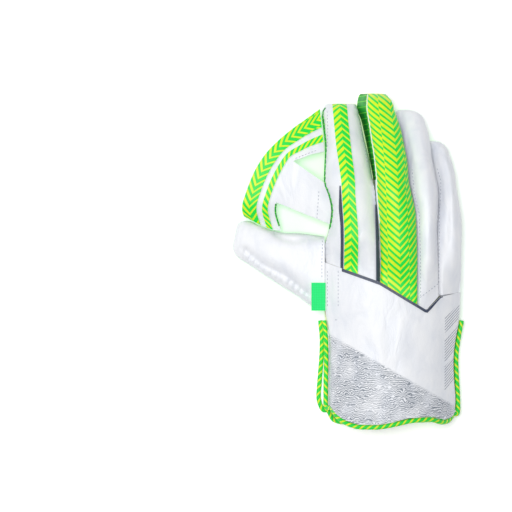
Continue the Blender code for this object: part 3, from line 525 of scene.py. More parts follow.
DENT_SIZE = (0.015, 0.034, 0.015)
EDGE_STEPS = 6  # steps of the grid over which dents and puckers fade out towards an edge
PUCKER = 0.00022
PUCKER_PITCH = 0.0052
PUCKER_REACH = 3.0  # steps of the grid


def work_in(rows, depth, edge_column=None):
    """The rows with the shallow dents of worn leather, and puckers along the seams where it is stitched."""
    lifted = stand_off(rows, 1.0)
    moved = []
    for r, (row, raised) in enumerate(zip(rows, lifted)):
        line = []
        for c, (point, above) in enumerate(zip(row, raised)):
            fade = clamp(min(c, len(row) - 1 - c, r, len(rows) - 1 - r) / EDGE_STEPS)
            rise = depth * noise.noise(Vector(p / size for p, size in zip(point, DENT_SIZE))) * fade
            if edge_column is not None:
                from_seam = min(abs(c - edge_column), abs(len(row) - 1 - edge_column - c)) / PUCKER_REACH
                wave = math.sin(2 * math.pi * point[1] / PUCKER_PITCH)
                rise += PUCKER * wave * math.exp(-from_seam ** 2) * fade
            line.append(mix(point, above, rise))
        moved.append(line)
    return moved


def dent(rows, line, depth, width):
    """The rows pressed down along a line of (x, y) places on the table."""
    segments = [(Vector(a), Vector(b) - Vector(a)) for a, b in zip(line, line[1:])]
    moved = []
    for row in rows:
        pressed = []
        for x, y, z in row:
            spot = Vector((x, y))
            away = min((spot - a - run * clamp((spot - a).dot(run) / run.length_squared)).length
                       for a, run in segments)
            pressed.append((x, y, z - depth * math.exp(-(away / width) ** 2)))
        moved.append(pressed)
    return moved


def grid_quads(rows, columns, start=0):
    quads = []
    for r in range(rows - 1):
        for c in range(columns - 1):
            i = start + r * columns + c
            quads.append((i, i + 1, i + columns + 1, i + columns))
    return quads


SHARP_TURN = math.radians(50)


def closed_piece(name, top, bottom, quads, materials, pattern=None, paint=None):
    """A closed piece between two like sheets of points. The last material is for its inside.

    pattern gives each point's place in the surface's own pattern, in metres, kept as the map "pattern".
    """
    count = len(top)
    faces = list(quads) + [tuple(count + i for i in reversed(face)) for face in quads]
    edges = {(a, b) for face in quads for a, b in zip(face, face[1:] + face[:1])}
    faces += [(b, a, count + a, count + b) for a, b in edges if (b, a) not in edges]
    size = len(quads)
    numbers = (paint or [0] * size) + [len(materials) - 1] * size + [0] * (len(faces) - 2 * size)
    piece = mesh_piece(name, list(top) + list(bottom), faces, materials, numbers)
    mesh = piece.data
    if pattern:
        layer = mesh.uv_layers.new(name="pattern")
        for loop in mesh.loops:
            layer.data[loop.index].uv = pattern[loop.vertex_index % count]
    shape = bmesh.new()
    shape.from_mesh(mesh)
    bmesh.ops.recalc_face_normals(shape, faces=shape.faces)
    if shape.calc_volume(signed=True) < 0:
        bmesh.ops.reverse_faces(shape, faces=shape.faces)
    shape.to_mesh(mesh)
    shape.free()
    mesh.set_sharp_from_angle(angle=SHARP_TURN)
    return piece


def flatten(rows):
    return [point for row in rows for point in row]


def grid_piece(name, top, bottom, materials, pattern=None, paint=None):
    quads = grid_quads(len(top), len(top[0]))
    return closed_piece(name, flatten(top), flatten(bottom), quads, materials, pattern, paint)


def stand_for(piece, node):
    """The piece takes the place of one node of the part, and moves with it."""
    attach(piece, "root")
    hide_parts(node)
    return piece


# PU-coated leather: split hide with a white coat pressed with a fine grain. It is satin, with soft creases.
GRAIN = 0.0011
CREASE = 0.014


def coated_leather(name, colour, hollow_shade_colour):
    """White coated leather with a pressed grain and soft creases, with painted shade, a faint grey-blue, in
    the creases' hollows.
    """
    material, tree, shader = new_material(name, colour, 0.42, IOR=1.5)
    place = add(tree, "TexCoord")["Object"]
    grain = add(tree, "TexVoronoi", {"Vector": place, "Scale": 1 / GRAIN})["Distance"]
    stretched = add(tree, "Mapping", {"Vector": place, "Scale": (1.0, 0.45, 1.0)})["Vector"]
    crease = add(tree, "TexNoise", {"Vector": stretched, "Scale": 1 / CREASE, "Detail": 5.0,
                                              "Distortion": 0.6})["Fac"]
    # Painted shade: where the crease noise is low, in the creases' hollows, the colour turns to the greyer
    # shade colour.
    hollow = add(tree, "MapRange", {0: crease, 1: 0.62, 2: 0.30})[0]
    shade = add(tree, "Mix", {0: hollow, 6: linear(colour), 7: linear(hollow_shade_colour)}, data_type="RGBA")[2]
    surface(tree, shader, shade, (crease, 0.0022, 0.5), (grain, 0.00014, 0.5))
    worn = add(tree, "MapRange", {0: crease, 1: 0.3, 2: 0.7, 3: 0.36, 4: 0.5})[0]
    tree.links.new(worn, shader.inputs["Roughness"])
    return material, tree, shader, place, shade


# The second colour is painted shade for the hollows of the creases.
white_leather, _, _, _, _ = coated_leather("pu_coated_leather", "f3f4f7", "e6e9f0")

# Brushed cotton lining: a knitted cloth with a soft nap, cream and quite matt. Its loops are about 1 mm apart.
LOOP = 0.001
lining, tree, shader = new_material("cotton_lining", "eeefc8", 0.9, Sheen_Weight=0.25)
place = add(tree, "TexCoord")["Object"]
loops = add(tree, "TexVoronoi", {"Vector": place, "Scale": 1 / LOOP, "Randomness": 0.35})["Distance"]
cloth = add(tree, "Mix", {0: loops, 6: linear("f3f4d4"), 7: linear("dcdcb4")}, data_type="RGBA")[2]
surface(tree, shader, cloth, (loops, 0.0003, 0.7))

# Moulded natural rubber, matt and even, with a fine cast skin and a darker tone where it has been handled.
RUBBER_MOTTLE = 0.011
CAST_SKIN = 0.000714


def moulded_rubber(name, colour, dark):
    material, tree, shader = new_material(name, colour, 0.52, IOR=1.52)
    place = add(tree, "TexCoord")["Object"]
    mottle = add(tree, "TexNoise", {"Vector": place, "Scale": 1 / RUBBER_MOTTLE, "Detail": 6.0})["Fac"]
    share = add(tree, "MapRange", {0: mottle, 1: 0.35, 2: 0.75})[0]
    tone = add(tree, "Mix", {0: share, 6: linear(colour), 7: linear(dark)}, data_type="RGBA")[2]
    skin = add(tree, "TexNoise", {"Vector": place, "Scale": 1 / CAST_SKIN, "Detail": 3.0})["Fac"]
    surface(tree, shader, tone, (skin, 0.0002, 0.4))
    return material, tree, shader, place, tone


# The fingers' sides are a thinner sheet of the same rubber, ribbed across by thin paler lines. Its green is
# darker than the palm's rubber as painted shade, for side walls that face away from the light.
RIB_PITCH = 0.0056
RIB_EDGE = (0.0002, 0.0005)
# Painted shade: the side walls' rubber is given a darker green than the palm's rubber.
shaded_side_rubber, tree, shader, place, tone = moulded_rubber("shaded_side_rubber", "08b02c", "057a1e")
_, y, _ = add(tree, "SeparateXYZ", {0: place})
step = add(tree, "Math", {0: y, 1: RIB_PITCH / 2}, operation="PINGPONG")[0]
rib = add(tree, "MapRange", {0: step, 1: RIB_EDGE[1], 2: RIB_EDGE[0]})[0]
striped = add(tree, "Mix", {0: rib, 6: tone, 7: linear("6fdc3c")}, data_type="RGBA")[2]
tree.links.new(striped, shader.inputs["Base Color"])


# Coated woven-look cloth, with bands of green and yellow that meet in chevrons and threads about 0.7 mm wide.
THREAD = 0.0007
DYE_PATCH = 0.00625


def woven(name, pitch, slopes, greens, breaks=(1.0, 1.0)):
    """Woven-look coated cloth in bands of green and yellow. Its pattern map runs across and along it.

    slopes, greens (the share of each band) and breaks (the distance from the middle where the bands step by
    half a pitch) are for its left and right half.
    """
    material, tree, shader = new_material(name, "b8ee20", 0.45)
    place = add(tree, "UVMap", uv_map="pattern")["UV"]
    across, along, _ = add(tree, "SeparateXYZ", {0: place})
    right = add(tree, "Math", {0: across, 1: 0.0}, operation="GREATER_THAN")[0]
    away = add(tree, "Math", {0: across}, operation="ABSOLUTE")[0]
    slope = add(tree, "Mix", {0: right, 2: slopes[0], 3: slopes[1]})[0]
    rise = add(tree, "Math", {0: away, 1: slope}, operation="MULTIPLY")[0]
    level = add(tree, "Math", {0: along, 1: rise}, operation="SUBTRACT")[0]
    turns = add(tree, "Math", {0: level, 1: pitch}, operation="DIVIDE")[0]
    edge = add(tree, "Mix", {0: right, 2: breaks[0], 3: breaks[1]})[0]
    beyond = add(tree, "Math", {0: away, 1: edge}, operation="GREATER_THAN")[0]
    turns = add(tree, "Math", {0: beyond, 1: 0.5, 2: turns}, operation="MULTIPLY_ADD")[0]
    wave = add(tree, "Math", {0: turns, 1: 0.5}, operation="PINGPONG")[0]
    share = add(tree, "Mix", {0: right, 2: 0.5 * greens[0], 3: 0.5 * greens[1]})[0]
    depth = add(tree, "Math", {0: share, 1: wave}, operation="SUBTRACT")[0]
    green = add(tree, "MapRange", {0: depth, 1: -0.03, 2: 0.03}, interpolation_type="SMOOTHSTEP")[0]
    dye = add(tree, "TexNoise", {"Vector": place, "Scale": 1 / DYE_PATCH, "Detail": 2.0})["Fac"]
    yellow = add(tree, "Mix", {0: dye, 6: linear("f2fb1e"), 7: linear("c4f41a")}, data_type="RGBA")[2]
    lime = add(tree, "Mix", {0: dye, 6: linear("04dc38"), 7: linear("22f050")}, data_type="RGBA")[2]
    colour = add(tree, "Mix", {0: green, 6: yellow, 7: lime}, data_type="RGBA")[2]
    threads = add(tree, "TexVoronoi", {"Vector": place, "Scale": 1 / THREAD, "Randomness": 0.3})["Distance"]
    surface(tree, shader, colour, (green, 0.0004, 0.6), (threads, 0.00018, 0.5))
    return material


panel_weave = woven("woven_panel_cloth", 0.0064, (0.84, 1.0), (0.42, 0.66), (0.0125, 0.0095))
CROWN_WRAP = 0.4
CHEVRON_LINE = [(0.953, 0.488), (0.825, 0.513), (0.725, 0.522), (0.589, 0.530), (0.521, 0.538), (0.40, 0.550)]


def weave_map(rows, line):
    """Each point's distance right of the line, and its place along the glove, which bends over at the tip."""
    places = []
    for row in rows:
        x = flat_x(read_table(line, length_share(row[len(row) // 2][1]), 1))
        crown = max(z for _, _, z in row)
        for c, point in enumerate(row):
            side = -1 if c < len(row) // 2 else 1
            places.append((point[0] - x + side * CROWN_WRAP * (crown - point[2]), point[1]))
    return places


# Places in the photograph become places on the table, for marks that no size of the part gives.
PHOTO_MIDDLE = (348.5, 259.0)
PHOTO_SCALE = (0.00095, 0.000947)


def from_photo(*spots):
    """The (x, y) places on the table of the photograph's pixels."""
    return [((x - PHOTO_MIDDLE[0]) * PHOTO_SCALE[0], (PHOTO_MIDDLE[1] - y) * PHOTO_SCALE[1])
            for x, y in spots]


WEAR = 0.0007
INDEX_EDGE_END = 0.592
GREEN_WALLS = {"index": (True, True), "middle": (True, False)}  # left wall, right wall
CREASES = {  # line, depth and width
    "ring": (from_photo((417, 211), (419, 217), (418, 223)), 0.0008, 0.0018),
    "little": (from_photo((441, 150), (447, 175), (449, 205), (447, 240)), 0.0009, 0.0022),
}
finger_outer = {}
for number, finger in enumerate(FINGERS):
    outer = work_in(finger_rows(finger, number, 0.0), WEAR, WALL_STEPS)
    if finger in CREASES:
        outer = dent(outer, *CREASES[finger])
    inner = finger_rows(finger, number, BACK_WALLS[finger])
    finger_outer[finger] = outer
    face = panel_weave if finger == "middle" else white_leather
    weave = weave_map(outer, CHEVRON_LINE) if finger == "middle" else None
    columns = 2 * WALL_STEPS + CROWN_STEPS
    stall_rows = len(outer) - HAND_ROWS - 1
    paint = []
    for r in range(len(outer) - 1):
        for c in range(columns):
            left, right = GREEN_WALLS.get(finger, (False, False))
            on_left = c < WALL_STEPS - 1
            on_right = c > columns - WALL_STEPS
            end = finger == "index" and r < TIP_ROWS
            stall = r < stall_rows or number == 0 and length_share(outer[r][0][1]) > INDEX_EDGE_END
            # Walls in the stalls take the side rubber, whose darker green is painted shade.
            green = stall and not end and (on_left and left or on_right and right)
            paint.append(1 if green else 2 if on_left or on_right else 0)
    back = grid_piece(f"{finger}_finger_back", outer, inner, (face, shaded_side_rubber, white_leather, lining),
                      weave, paint)
    stand_for(back, f"{finger}_back")


# Rubber palm
# One moulded sheet of pimpled rubber covers the fingers' fronts and the palm. It is green, with a yellow
# middle finger and a yellow stripe down the index finger.
RUBBER_WALL = 0.003
FINGER_PAD = 0.0045
PALM_PAD = 0.0022
FRONT_STEPS = 14
PALM_TOP = 0.287
PALM_ROWS = 70
HAND_SWELL = 0.6
ROOT_RUN = 0.012
PAD_ROUNDNESS = 0.7

PIMPLE_PITCH = 0.0037
PIMPLE_RADIUS = 0.00125
PIMPLE_HEIGHT = 0.00055
PIMPLE_SIDES = 8
PIMPLE_RINGS = ((1.0, -0.25), (0.82, 0.6), (0.42, 1.0))  # shares of the radius and of the height
LOOKS_DOWN = 0.8
UP = Vector((0, 0, 1))
YELLOW_INDEX = (0.37, 0.78)  # the stripe's edges, shares across the index finger's front
YELLOW_ENDS = {"index": (0.545, 0.52), "middle": (0.545, 0.46)}  # length shares at each front's two sides

green_rubber, _, _, _, _ = moulded_rubber("moulded_green_rubber", "08e848", "02c834")
yellow_rubber, _, _, _, _ = moulded_rubber("moulded_yellow_rubber", "eaf61a", "d4e206")


def rubber_colour(column, columns, v):
    """Which of the two rubbers a place of the palm sheet is moulded in: 0 is green, 1 is yellow."""
    finger, across = divmod(4 * column / columns, 1)
    if finger == 0 and YELLOW_INDEX[0] < across < YELLOW_INDEX[1]:
        low, high = YELLOW_ENDS["index"]
    elif finger == 1:
        low, high = YELLOW_ENDS["middle"]
    else:
        return 0
    return 1 if v > low + (high - low) * across else 0


def ring_faces(first, sides, bands):
    """Faces of a small round shape: bands between its rings of points, and a cap at each end."""
    last = first + bands * sides
    faces = [tuple(last + s for s in range(sides)), tuple(first + s for s in reversed(range(sides)))]
    for band in range(bands):
        for s in range(sides):
            a = first + band * sides + s
            b = first + band * sides + (s + 1) % sides
            faces.append((a, b, b + sides, a + sides))
    return faces


def ring_points(centre, side, other, radius, sides):
    """Points of a circle."""
    angles = [2 * math.pi * s / sides for s in range(sides)]
    return [tuple(centre + (side * math.cos(a) + other * math.sin(a)) * radius) for a in angles]


def pimples(name, points, quads, colours=None):
    """Low round pimples moulded on the rubber, in staggered rows over the faces that look down."""
    under = BVHTree.FromPolygons(points, quads)
    xs = [p[0] for p in points]
    ys = [p[1] for p in points]
    verts, faces, paint = [], [], []
    rows = int((max(ys) - min(ys)) / (PIMPLE_PITCH * 0.866))
    for r in range(rows + 1):
        y = min(ys) + r * PIMPLE_PITCH * 0.866
        for c in range(int((max(xs) - min(xs)) / PIMPLE_PITCH) + 1):
            x = min(xs) + (c + 0.5 * (r % 2)) * PIMPLE_PITCH
            hits = [under.ray_cast(Vector((x + a * PIMPLE_PITCH, y + b * PIMPLE_PITCH, -0.05)), UP)
                    for a, b in ((0, 0), (1, 0), (-1, 0), (0, 1), (0, -1))]
            spot, normal, face, _ = hits[0]
            if any(hit[0] is None for hit in hits) or abs(normal.z) < LOOKS_DOWN:
                continue
            normal = -normal if normal.z > 0 else normal
            side = normal.orthogonal().normalized()
            other = normal.cross(side)
            faces += ring_faces(len(verts), PIMPLE_SIDES, len(PIMPLE_RINGS) - 1)
            for radius, height in PIMPLE_RINGS:
                centre = spot + normal * PIMPLE_HEIGHT * height
                verts += ring_points(centre, side, other, PIMPLE_RADIUS * radius, PIMPLE_SIDES)
            paint += [colours[face] if colours else 0] * (len(faces) - len(paint))
    piece = mesh_piece(name, verts, faces, (green_rubber, yellow_rubber), paint)
    piece.data.set_sharp_from_angle(angle=SHARP_TURN)
    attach(piece, "root")


def pad_swell(share):
    """Zero with no slope at both edges, one in the middle."""
    return 0.5 - 0.5 * math.cos(2 * math.pi * share)


def front_row(left, right, depth, steps):
    """Inner side of a rubber front between its two seams, swelling downwards by depth."""
    row = []
    for i in range(steps + 1):
        x, y, z = mix(left, right, i / steps)
        row.append((x, y, z - SEAM_GAP - depth * pad_swell(i / steps) ** PAD_ROUNDNESS))
    return row


def seam_point(line, v, side):
    """A point of the palm's seam line; side is -1 before the seam, 1 after it, 0 on it."""
    x = seam_x(line, v, side > 0) if side else 0.5 * (seam_x(line, v, True) + seam_x(line, v, False))
    return (x + SEAM_LEAN[line] * HAND_WIDTH + 0.5 * SEAM_GAP * side, flat_y(v), seam_z(line, v))


def palm_sheet():
    """Inner side of the rubber palm: four finger fronts that run together over the palm."""
    points = []
    width = 4 * FRONT_STEPS + 1
    for t in even_shares(PALM_ROWS):
        v = CROTCH - (CROTCH - PALM_TOP) * t
        depth = HAND_SWELL * (FINGER_PAD * (1 - t) ** 2 + PALM_PAD * t)
        points += front_row(seam_point(0, v, 1), seam_point(1, v, 0), depth, FRONT_STEPS)
        for k in (1, 2):
            points += front_row(seam_point(k, v, 0), seam_point(k + 1, v, 0), depth, FRONT_STEPS)[1:]
        points += front_row(seam_point(3, v, 0), seam_point(4, v, -1), depth, FRONT_STEPS)[1:]
    quads = grid_quads(PALM_ROWS + 1, width)
    for k, name in enumerate(FINGERS):
        above = [k * FRONT_STEPS + i for i in range(FRONT_STEPS + 1)]
        rows = finger_outer[name][:-HAND_ROWS - 1]
        for n, row in enumerate(reversed(rows)):
            from_tip = (len(rows) - 1 - n) / TIP_ROWS
            from_root = n * ROW_SPACING / ROOT_RUN
            depth = FINGER_PAD * min(1.0, HAND_SWELL + (1 - HAND_SWELL) * from_root) * min(1.0, from_tip)
            first = len(points)
            points += front_row(row[0], row[-1], depth, FRONT_STEPS)
            below = list(range(first, first + FRONT_STEPS + 1))
            for i in range(FRONT_STEPS):
                quads.append((below[i], below[i + 1], above[i + 1], above[i]))
            above = below
    return points, quads


palm_points, palm_quads = palm_sheet()
palm_outer = [(x, y, z - RUBBER_WALL) for x, y, z in palm_points]
palm_paint = []
hand_quads = PALM_ROWS * 4 * FRONT_STEPS
for number, face in enumerate(palm_quads):
    if number < hand_quads:
        column = number % (4 * FRONT_STEPS)
    else:
        finger_start = hand_quads
        for k, name in enumerate(FINGERS):
            size = (len(finger_outer[name]) - HAND_ROWS - 1) * FRONT_STEPS
            if number < finger_start + size:
                column = k * FRONT_STEPS + (number - finger_start) % FRONT_STEPS
                break
            finger_start += size
    y = sum(palm_points[i][1] for i in face) / 4
    palm_paint.append(rubber_colour(column + 0.5, 4 * FRONT_STEPS, length_share(y)))
palm = closed_piece("palm_rubber", palm_outer, palm_points, palm_quads, (green_rubber, yellow_rubber, lining),
                    paint=palm_paint)
stand_for(palm, "palm_facing")
pimples("palm_rubber_pimples", palm_outer, palm_quads, palm_paint)


# Thumb
# The thumb is a padded leather back sewn to a pimpled rubber front, and lies out flat to the side.
THUMB_WALL = 0.004
THUMB_TIP = 0.0145
THUMB_TIP_WIDTH = 0.42
THUMB_TIP_DROP = 0.001
THUMB_STEPS = 14
THUMB_ROWS = [  # wrist x, wrist v, web x, web v, wrist foot, wrist shoulder, crown, web shoulder, web foot
    (-0.001, 0.346, -0.001, 0.568, 0.145, 0.36, 0.50, 0.47, 0.285),
    (-0.160, 0.362, -0.150, 0.574, 0.130, 0.35, 0.50, 0.46, 0.235),
    (-0.305, 0.391, -0.295, 0.577, 0.118, 0.34, 0.50, 0.45, 0.190),
    (-0.450, 0.415, -0.430, 0.579, 0.108, 0.33, 0.49, 0.43, 0.155),
    (-0.630, 0.447, -0.570, 0.585, 0.102, 0.31, 0.47, 0.41, 0.130),
    (-0.790, 0.476, -0.690, 0.597, 0.100, 0.28, 0.43, 0.37, 0.115),
    (-0.880, 0.492, -0.790, 0.611, 0.098, 0.25, 0.39, 0.33, 0.110),
]


def thumb_rows(inset):
    """Sections of the thumb's back, from its root to its tip."""
    rows = []
    table = [(float(i), *row) for i, row in enumerate(THUMB_ROWS)]
    for i in range((len(THUMB_ROWS) - 1) * THUMB_STEPS + 1):
        wx, wv, tx, tv, *heights = (read_table(table, i / THUMB_STEPS, c) for c in range(1, 10))
        left = (flat_x(wx), flat_y(wv))
        right = (flat_x(tx), flat_y(tv))
        heights = [h * ARCH_HEIGHT for h in heights]
        rows.append(arch_row(left, right, heights, (0.0, 0.0), inset))
    root = THUMB_ROWS[0]
    axis = (0.5 * (left[0] + right[0]) - flat_x(0.5 * (root[0] + root[2])),
            0.5 * (left[1] + right[1]) - flat_y(0.5 * (root[1] + root[3])))
    length = math.hypot(*axis)
    for advance, width, height in dome_steps(THUMB_TIP_WIDTH):
        reach = (THUMB_TIP - inset) * advance / length
        shift = (axis[0] * reach, axis[1] * reach, -THUMB_TIP_DROP * advance)
        rows.append(arch_row(left, right, heights, (0.0, 0.0), inset, (width, height), shift))
    return rows


THUMB_WELT_LINE = from_photo((236, 248), (244, 256), (257, 267), (271, 275), (285, 282.5), (297, 291),
                             (308, 297))
THUMB_FOLDS = [  # line, depth and width: the fold beside the web, the hollow along the welt, the welt itself
    (from_photo((276, 234), (285, 238.5), (294, 240.5), (309, 238), (327, 236)), 0.0024, 0.0030),
    (from_photo((246, 250), (262, 263), (287, 276), (299, 286), (310, 296)), 0.0034, 0.0030),
    (THUMB_WELT_LINE, -0.0014, 0.0020),
]
CRINKLES = 13
CRINKLE_RUN = (0.0028, 0.0040)
CRINKLE_SIZE = (0.0012, 0.0011)  # depth and width
THUMB_SEAM_COLUMN = 4
thumb_outer = work_in(thumb_rows(0.0), WEAR, THUMB_SEAM_COLUMN)
for fold in THUMB_FOLDS:
    thumb_outer = dent(thumb_outer, *fold)
for x, y in sample(THUMB_WELT_LINE, [(n + 0.5) / CRINKLES for n in range(CRINKLES)]):
    thumb_outer = dent(thumb_outer, [(x, y), (x + CRINKLE_RUN[0], y + CRINKLE_RUN[1])], *CRINKLE_SIZE)
thumb_back = grid_piece("thumb_leather_back", thumb_outer, thumb_rows(THUMB_WALL), (white_leather, lining))
stand_for(thumb_back, "thumb_back")
ROOT_SWELL = 0.35
thumb_inside = []
for number, row in enumerate(thumb_outer):
    from_tip = (len(thumb_outer) - 1 - number) / TIP_ROWS
    from_root = number / (4 * THUMB_STEPS)
    swell = FINGER_PAD * min(1.0, from_tip) * (ROOT_SWELL + (1 - ROOT_SWELL) * min(1.0, from_root))
    thumb_inside.append(front_row(row[0], row[-1], swell, 2 * FRONT_STEPS))
thumb_outside = [[(x, y, z - RUBBER_WALL) for x, y, z in row] for row in thumb_inside]
thumb_front = grid_piece("thumb_rubber_front", thumb_outside, thumb_inside, (green_rubber, lining))
stand_for(thumb_front, "thumb_facing")
thumb_quads = grid_quads(len(thumb_outside), len(thumb_outside[0]))
pimples("thumb_rubber_pimples", flatten(thumb_outside), thumb_quads)


# Web
# A crescent of leather joins the tips of index finger and thumb, with a bar across to the index finger.
# Rubber lines its underside, and two woven bands are sewn along its top.
WEB_LEATHER = 0.0022
WEB_RUBBER = 0.0024
BAND_WALL = 0.0008
LAID_GAP = 0.0005
WEB_STEPS = 8
WEB_ACROSS = 24
WEB_ROWS = [  # outer x, outer v, outer height, inner x, inner v, inner height
    (-0.050, 0.950, 0.24, -0.005, 0.820, 0.475),
    (-0.197, 0.920, 0.30, -0.153, 0.811, 0.465),
    (-0.355, 0.889, 0.33, -0.257, 0.800, 0.450),
    (-0.524, 0.850, 0.35, -0.341, 0.791, 0.435),
    (-0.666, 0.808, 0.36, -0.415, 0.754, 0.420),
    (-0.786, 0.753, 0.355, -0.480, 0.712, 0.400),
    (-0.890, 0.678, 0.33, -0.530, 0.669, 0.370),
    (-0.906, 0.651, 0.30, -0.540, 0.643, 0.330),
    (-0.895, 0.633, 0.26, -0.520, 0.618, 0.285),
]
WEB_FOOT = [  # x, v, height: along the thumb's upper edge, from its tip in
    (-0.872, 0.6255, 0.215), (-0.790, 0.6145, 0.215), (-0.690, 0.6003, 0.220), (-0.570, 0.5883, 0.225),
    (-0.478, 0.5845, 0.235),
]
WIDE_BAND = (0.0, 0.43)
NARROW_BAND = (0.60, 0.77)
BAR_ROWS = (3, 6)
BAR_INDEX = [(3.0, 0.727, 0.56), (4.0, 0.686, 0.555), (5.0, 0.645, 0.54), (6.0, 0.604, 0.50)]
BAR_STEPS = 16
BAR_SAG = 0.0015


def smooth_path(points, steps):
    """Points of a smooth curve through the given ones."""
    path = []
    last = len(points) - 1
    for i in range(last):
        p0, p1, p2, p3 = (points[min(max(k, 0), last)] for k in (i - 1, i, i + 1, i + 2))
        for s in range(steps):
            t = s / steps
            path.append(tuple(0.5 * (2 * b + (c - a) * t + (2 * a - 5 * b + 4 * c - d) * t ** 2
                                     + (3 * b - a - 3 * c + d) * t ** 3)
                              for a, b, c, d in zip(p0, p1, p2, p3)))
    return path + [tuple(points[-1])]


def web_rows(lift, shares):
    """Rows of points across the web's crescent, from the index finger's tip to the thumb's edge."""
    columns = []
    foot = [(x, flat_x(x), flat_y(v), z * ARCH_HEIGHT + lift) for x, v, z in WEB_FOOT]
    for share in shares:
        column = []
        for ox, ov, oz, ix, iv, iz in WEB_ROWS:
            outer = (flat_x(ox), flat_y(ov), oz * ARCH_HEIGHT + lift)
            inner = (flat_x(ix), flat_y(iv), iz * ARCH_HEIGHT + lift)
            column.append(mix(outer, inner, share))
        key = WEB_FOOT[0][0] + (WEB_FOOT[-1][0] - WEB_FOOT[0][0]) * share
        column.append(tuple(read_line(foot, key, c) for c in (1, 2, 3)))
        columns.append(smooth_path(column, WEB_STEPS))
    return [list(row) for row in zip(*columns)]


def web_points(lift):
    """Points and faces of the web: the crescent's grid, then the bar's."""
    rows = web_rows(lift, even_shares(WEB_ACROSS))
    points = flatten(rows)
    width = WEB_ACROSS + 1
    quads = grid_quads(len(rows), width)
    first, last = (row * WEB_STEPS for row in BAR_ROWS)
    above = [row * width + width - 1 for row in range(first, last + 1)]
    roots = [points[i] for i in above]
    ends = []
    for row in range(first, last + 1):
        v, height = (read_table(BAR_INDEX, row / WEB_STEPS, c) for c in (1, 2))
        ends.append((seam_x(0, v, True) - SEAM_GAP, flat_y(v), height * ARCH_HEIGHT + lift))
    for step in range(1, BAR_STEPS + 1):
        start = len(points)
        t = step / BAR_STEPS
        for root, end in zip(roots, ends):
            x, y, z = mix(root, end, t)
            points.append((x, y, z - BAR_SAG * math.sin(math.pi * t)))
        below = list(range(start, start + len(ends)))
        for i in range(len(ends) - 1):
            quads.append((below[i], below[i + 1], above[i + 1], above[i]))
        above = below
    return points, quads


def band_map(rows):
    """Each point's distance from the band's middle, and along the band."""
    places = []
    travel = 0.0
    for i, row in enumerate(rows):
        centre = mix(row[0], row[-1], 0.5)
        if i:
            travel += math.dist(centre, last_centre)
        last_centre = centre
        places += [(math.dist(row[0], row[-1]) * (c / (len(row) - 1) - 0.5), travel) for c in range(len(row))]
    return places


web_top, web_quads = web_points(WEB_LEATHER)
web_bottom, _ = web_points(0.0)
web_leather = closed_piece("web_leather", web_top, web_bottom, web_quads, (white_leather,))
stand_for(web_leather, "web_back")
rubber_top, _ = web_points(-SEAM_GAP)
rubber_bottom, _ = web_points(-SEAM_GAP - WEB_RUBBER)
web_rubber = closed_piece("web_rubber", rubber_bottom, rubber_top, web_quads, (green_rubber,))
stand_for(web_rubber, "web_facing")
pimples("web_rubber_pimples", rubber_bottom, web_quads)
index_weave = woven("woven_index_band", 0.0072, (1.05, 1.05), (0.42, 0.70))
wide_weave = woven("woven_web_band", 0.0074, (-1.3, -1.3), (0.50, 0.66), (0.0068, 0.0072))
narrow_weave = woven("woven_web_stripe", 0.0066, (-1.1, 1.1), (0.55, 0.55))
for node, (start, end), steps, cloth in (("web_band_wide", WIDE_BAND, 14, wide_weave),
                                         ("web_band_narrow", NARROW_BAND, 6, narrow_weave)):
    shares = [start + (end - start) * share for share in even_shares(steps)]
    lower = web_rows(WEB_LEATHER + LAID_GAP, shares)
    upper = web_rows(WEB_LEATHER + LAID_GAP + BAND_WALL, shares)
    band = grid_piece(f"{node}_cloth", upper, lower, (cloth,), band_map(upper))
    stand_for(band, node)


# Index band and trims
# A woven band is sewn down the middle of the index finger, and dark raised lines of moulded trim run
# beside it and along the wrist.
TRIM_WIDTH = 0.0028
TRIM_SPAN = (0.116, 0.86)
TRIM_TAPER = 0.014
INDEX_BAND = [(0.96, 0.060, 0.160), (0.84, 0.083, 0.183), (0.737, 0.113, 0.209), (0.686, 0.124, 0.214),
              (0.589, 0.140, 0.234), (0.44, 0.142, 0.238)]
INDEX_TRIM = [(0.716, 0.104, 0.110), (0.65, 0.104, 0.122), (0.589, 0.114, 0.132), (0.44, 0.116, 0.134)]
MIDDLE_TRIM = [(0.670, 0.357, 0.359), (0.60, 0.361, 0.374), (0.52, 0.366, 0.386), (0.44, 0.368, 0.390)]
TRIM_END = 0.004

# Moulded PU trim, satin and nearly black-blue, printed with a fine rib.
RIB = 0.0012
WAVE_TURN = 2 * math.pi / 20  # a wave texture of scale 1 has one band in this length
dark_trim, tree, shader = new_material("moulded_dark_trim", "3a4359", 0.4)
place = add(tree, "TexCoord")["Object"]
ribs = add(tree, "TexWave", {"Vector": place, "Scale": WAVE_TURN / RIB, "Distortion": 1.5})["Fac"]
tone = add(tree, "Mix", {0: ribs, 6: linear("333c50"), 7: linear("465068")}, data_type="RGBA")[2]
surface(tree, shader, tone, (ribs, 0.0002, 0.5))


def at_x(row, x):
    """The point of a section at a given x, on its upper side."""
    for p, q in zip(row, row[1:]):
        if p[0] <= x <= q[0]:
            return mix(p, q, (x - p[0]) / (q[0] - p[0]))
    return row[-1] if x > row[-1][0] else row[0]


def band_on(rows, table, steps):
    """Points of a band laid on a shell's sections, between the two edges that the table gives."""
    band = []
    for row in rows:
        v = length_share(row[len(row) // 2][1])
        left, right = (flat_x(read_table(table, v, c)) for c in (1, 2))
        band.append([at_x(row, left + (right - left) * i / steps) for i in range(steps + 1)])
    return band


def laid_strip(name, laid, material, mapped=False):
    """A thin strip over the points of a surface, just clear of it."""
    upper = stand_off(laid, LAID_GAP + BAND_WALL)
    pattern = band_map(upper) if mapped else None
    return grid_piece(name, upper, stand_off(laid, LAID_GAP), (material,), pattern)


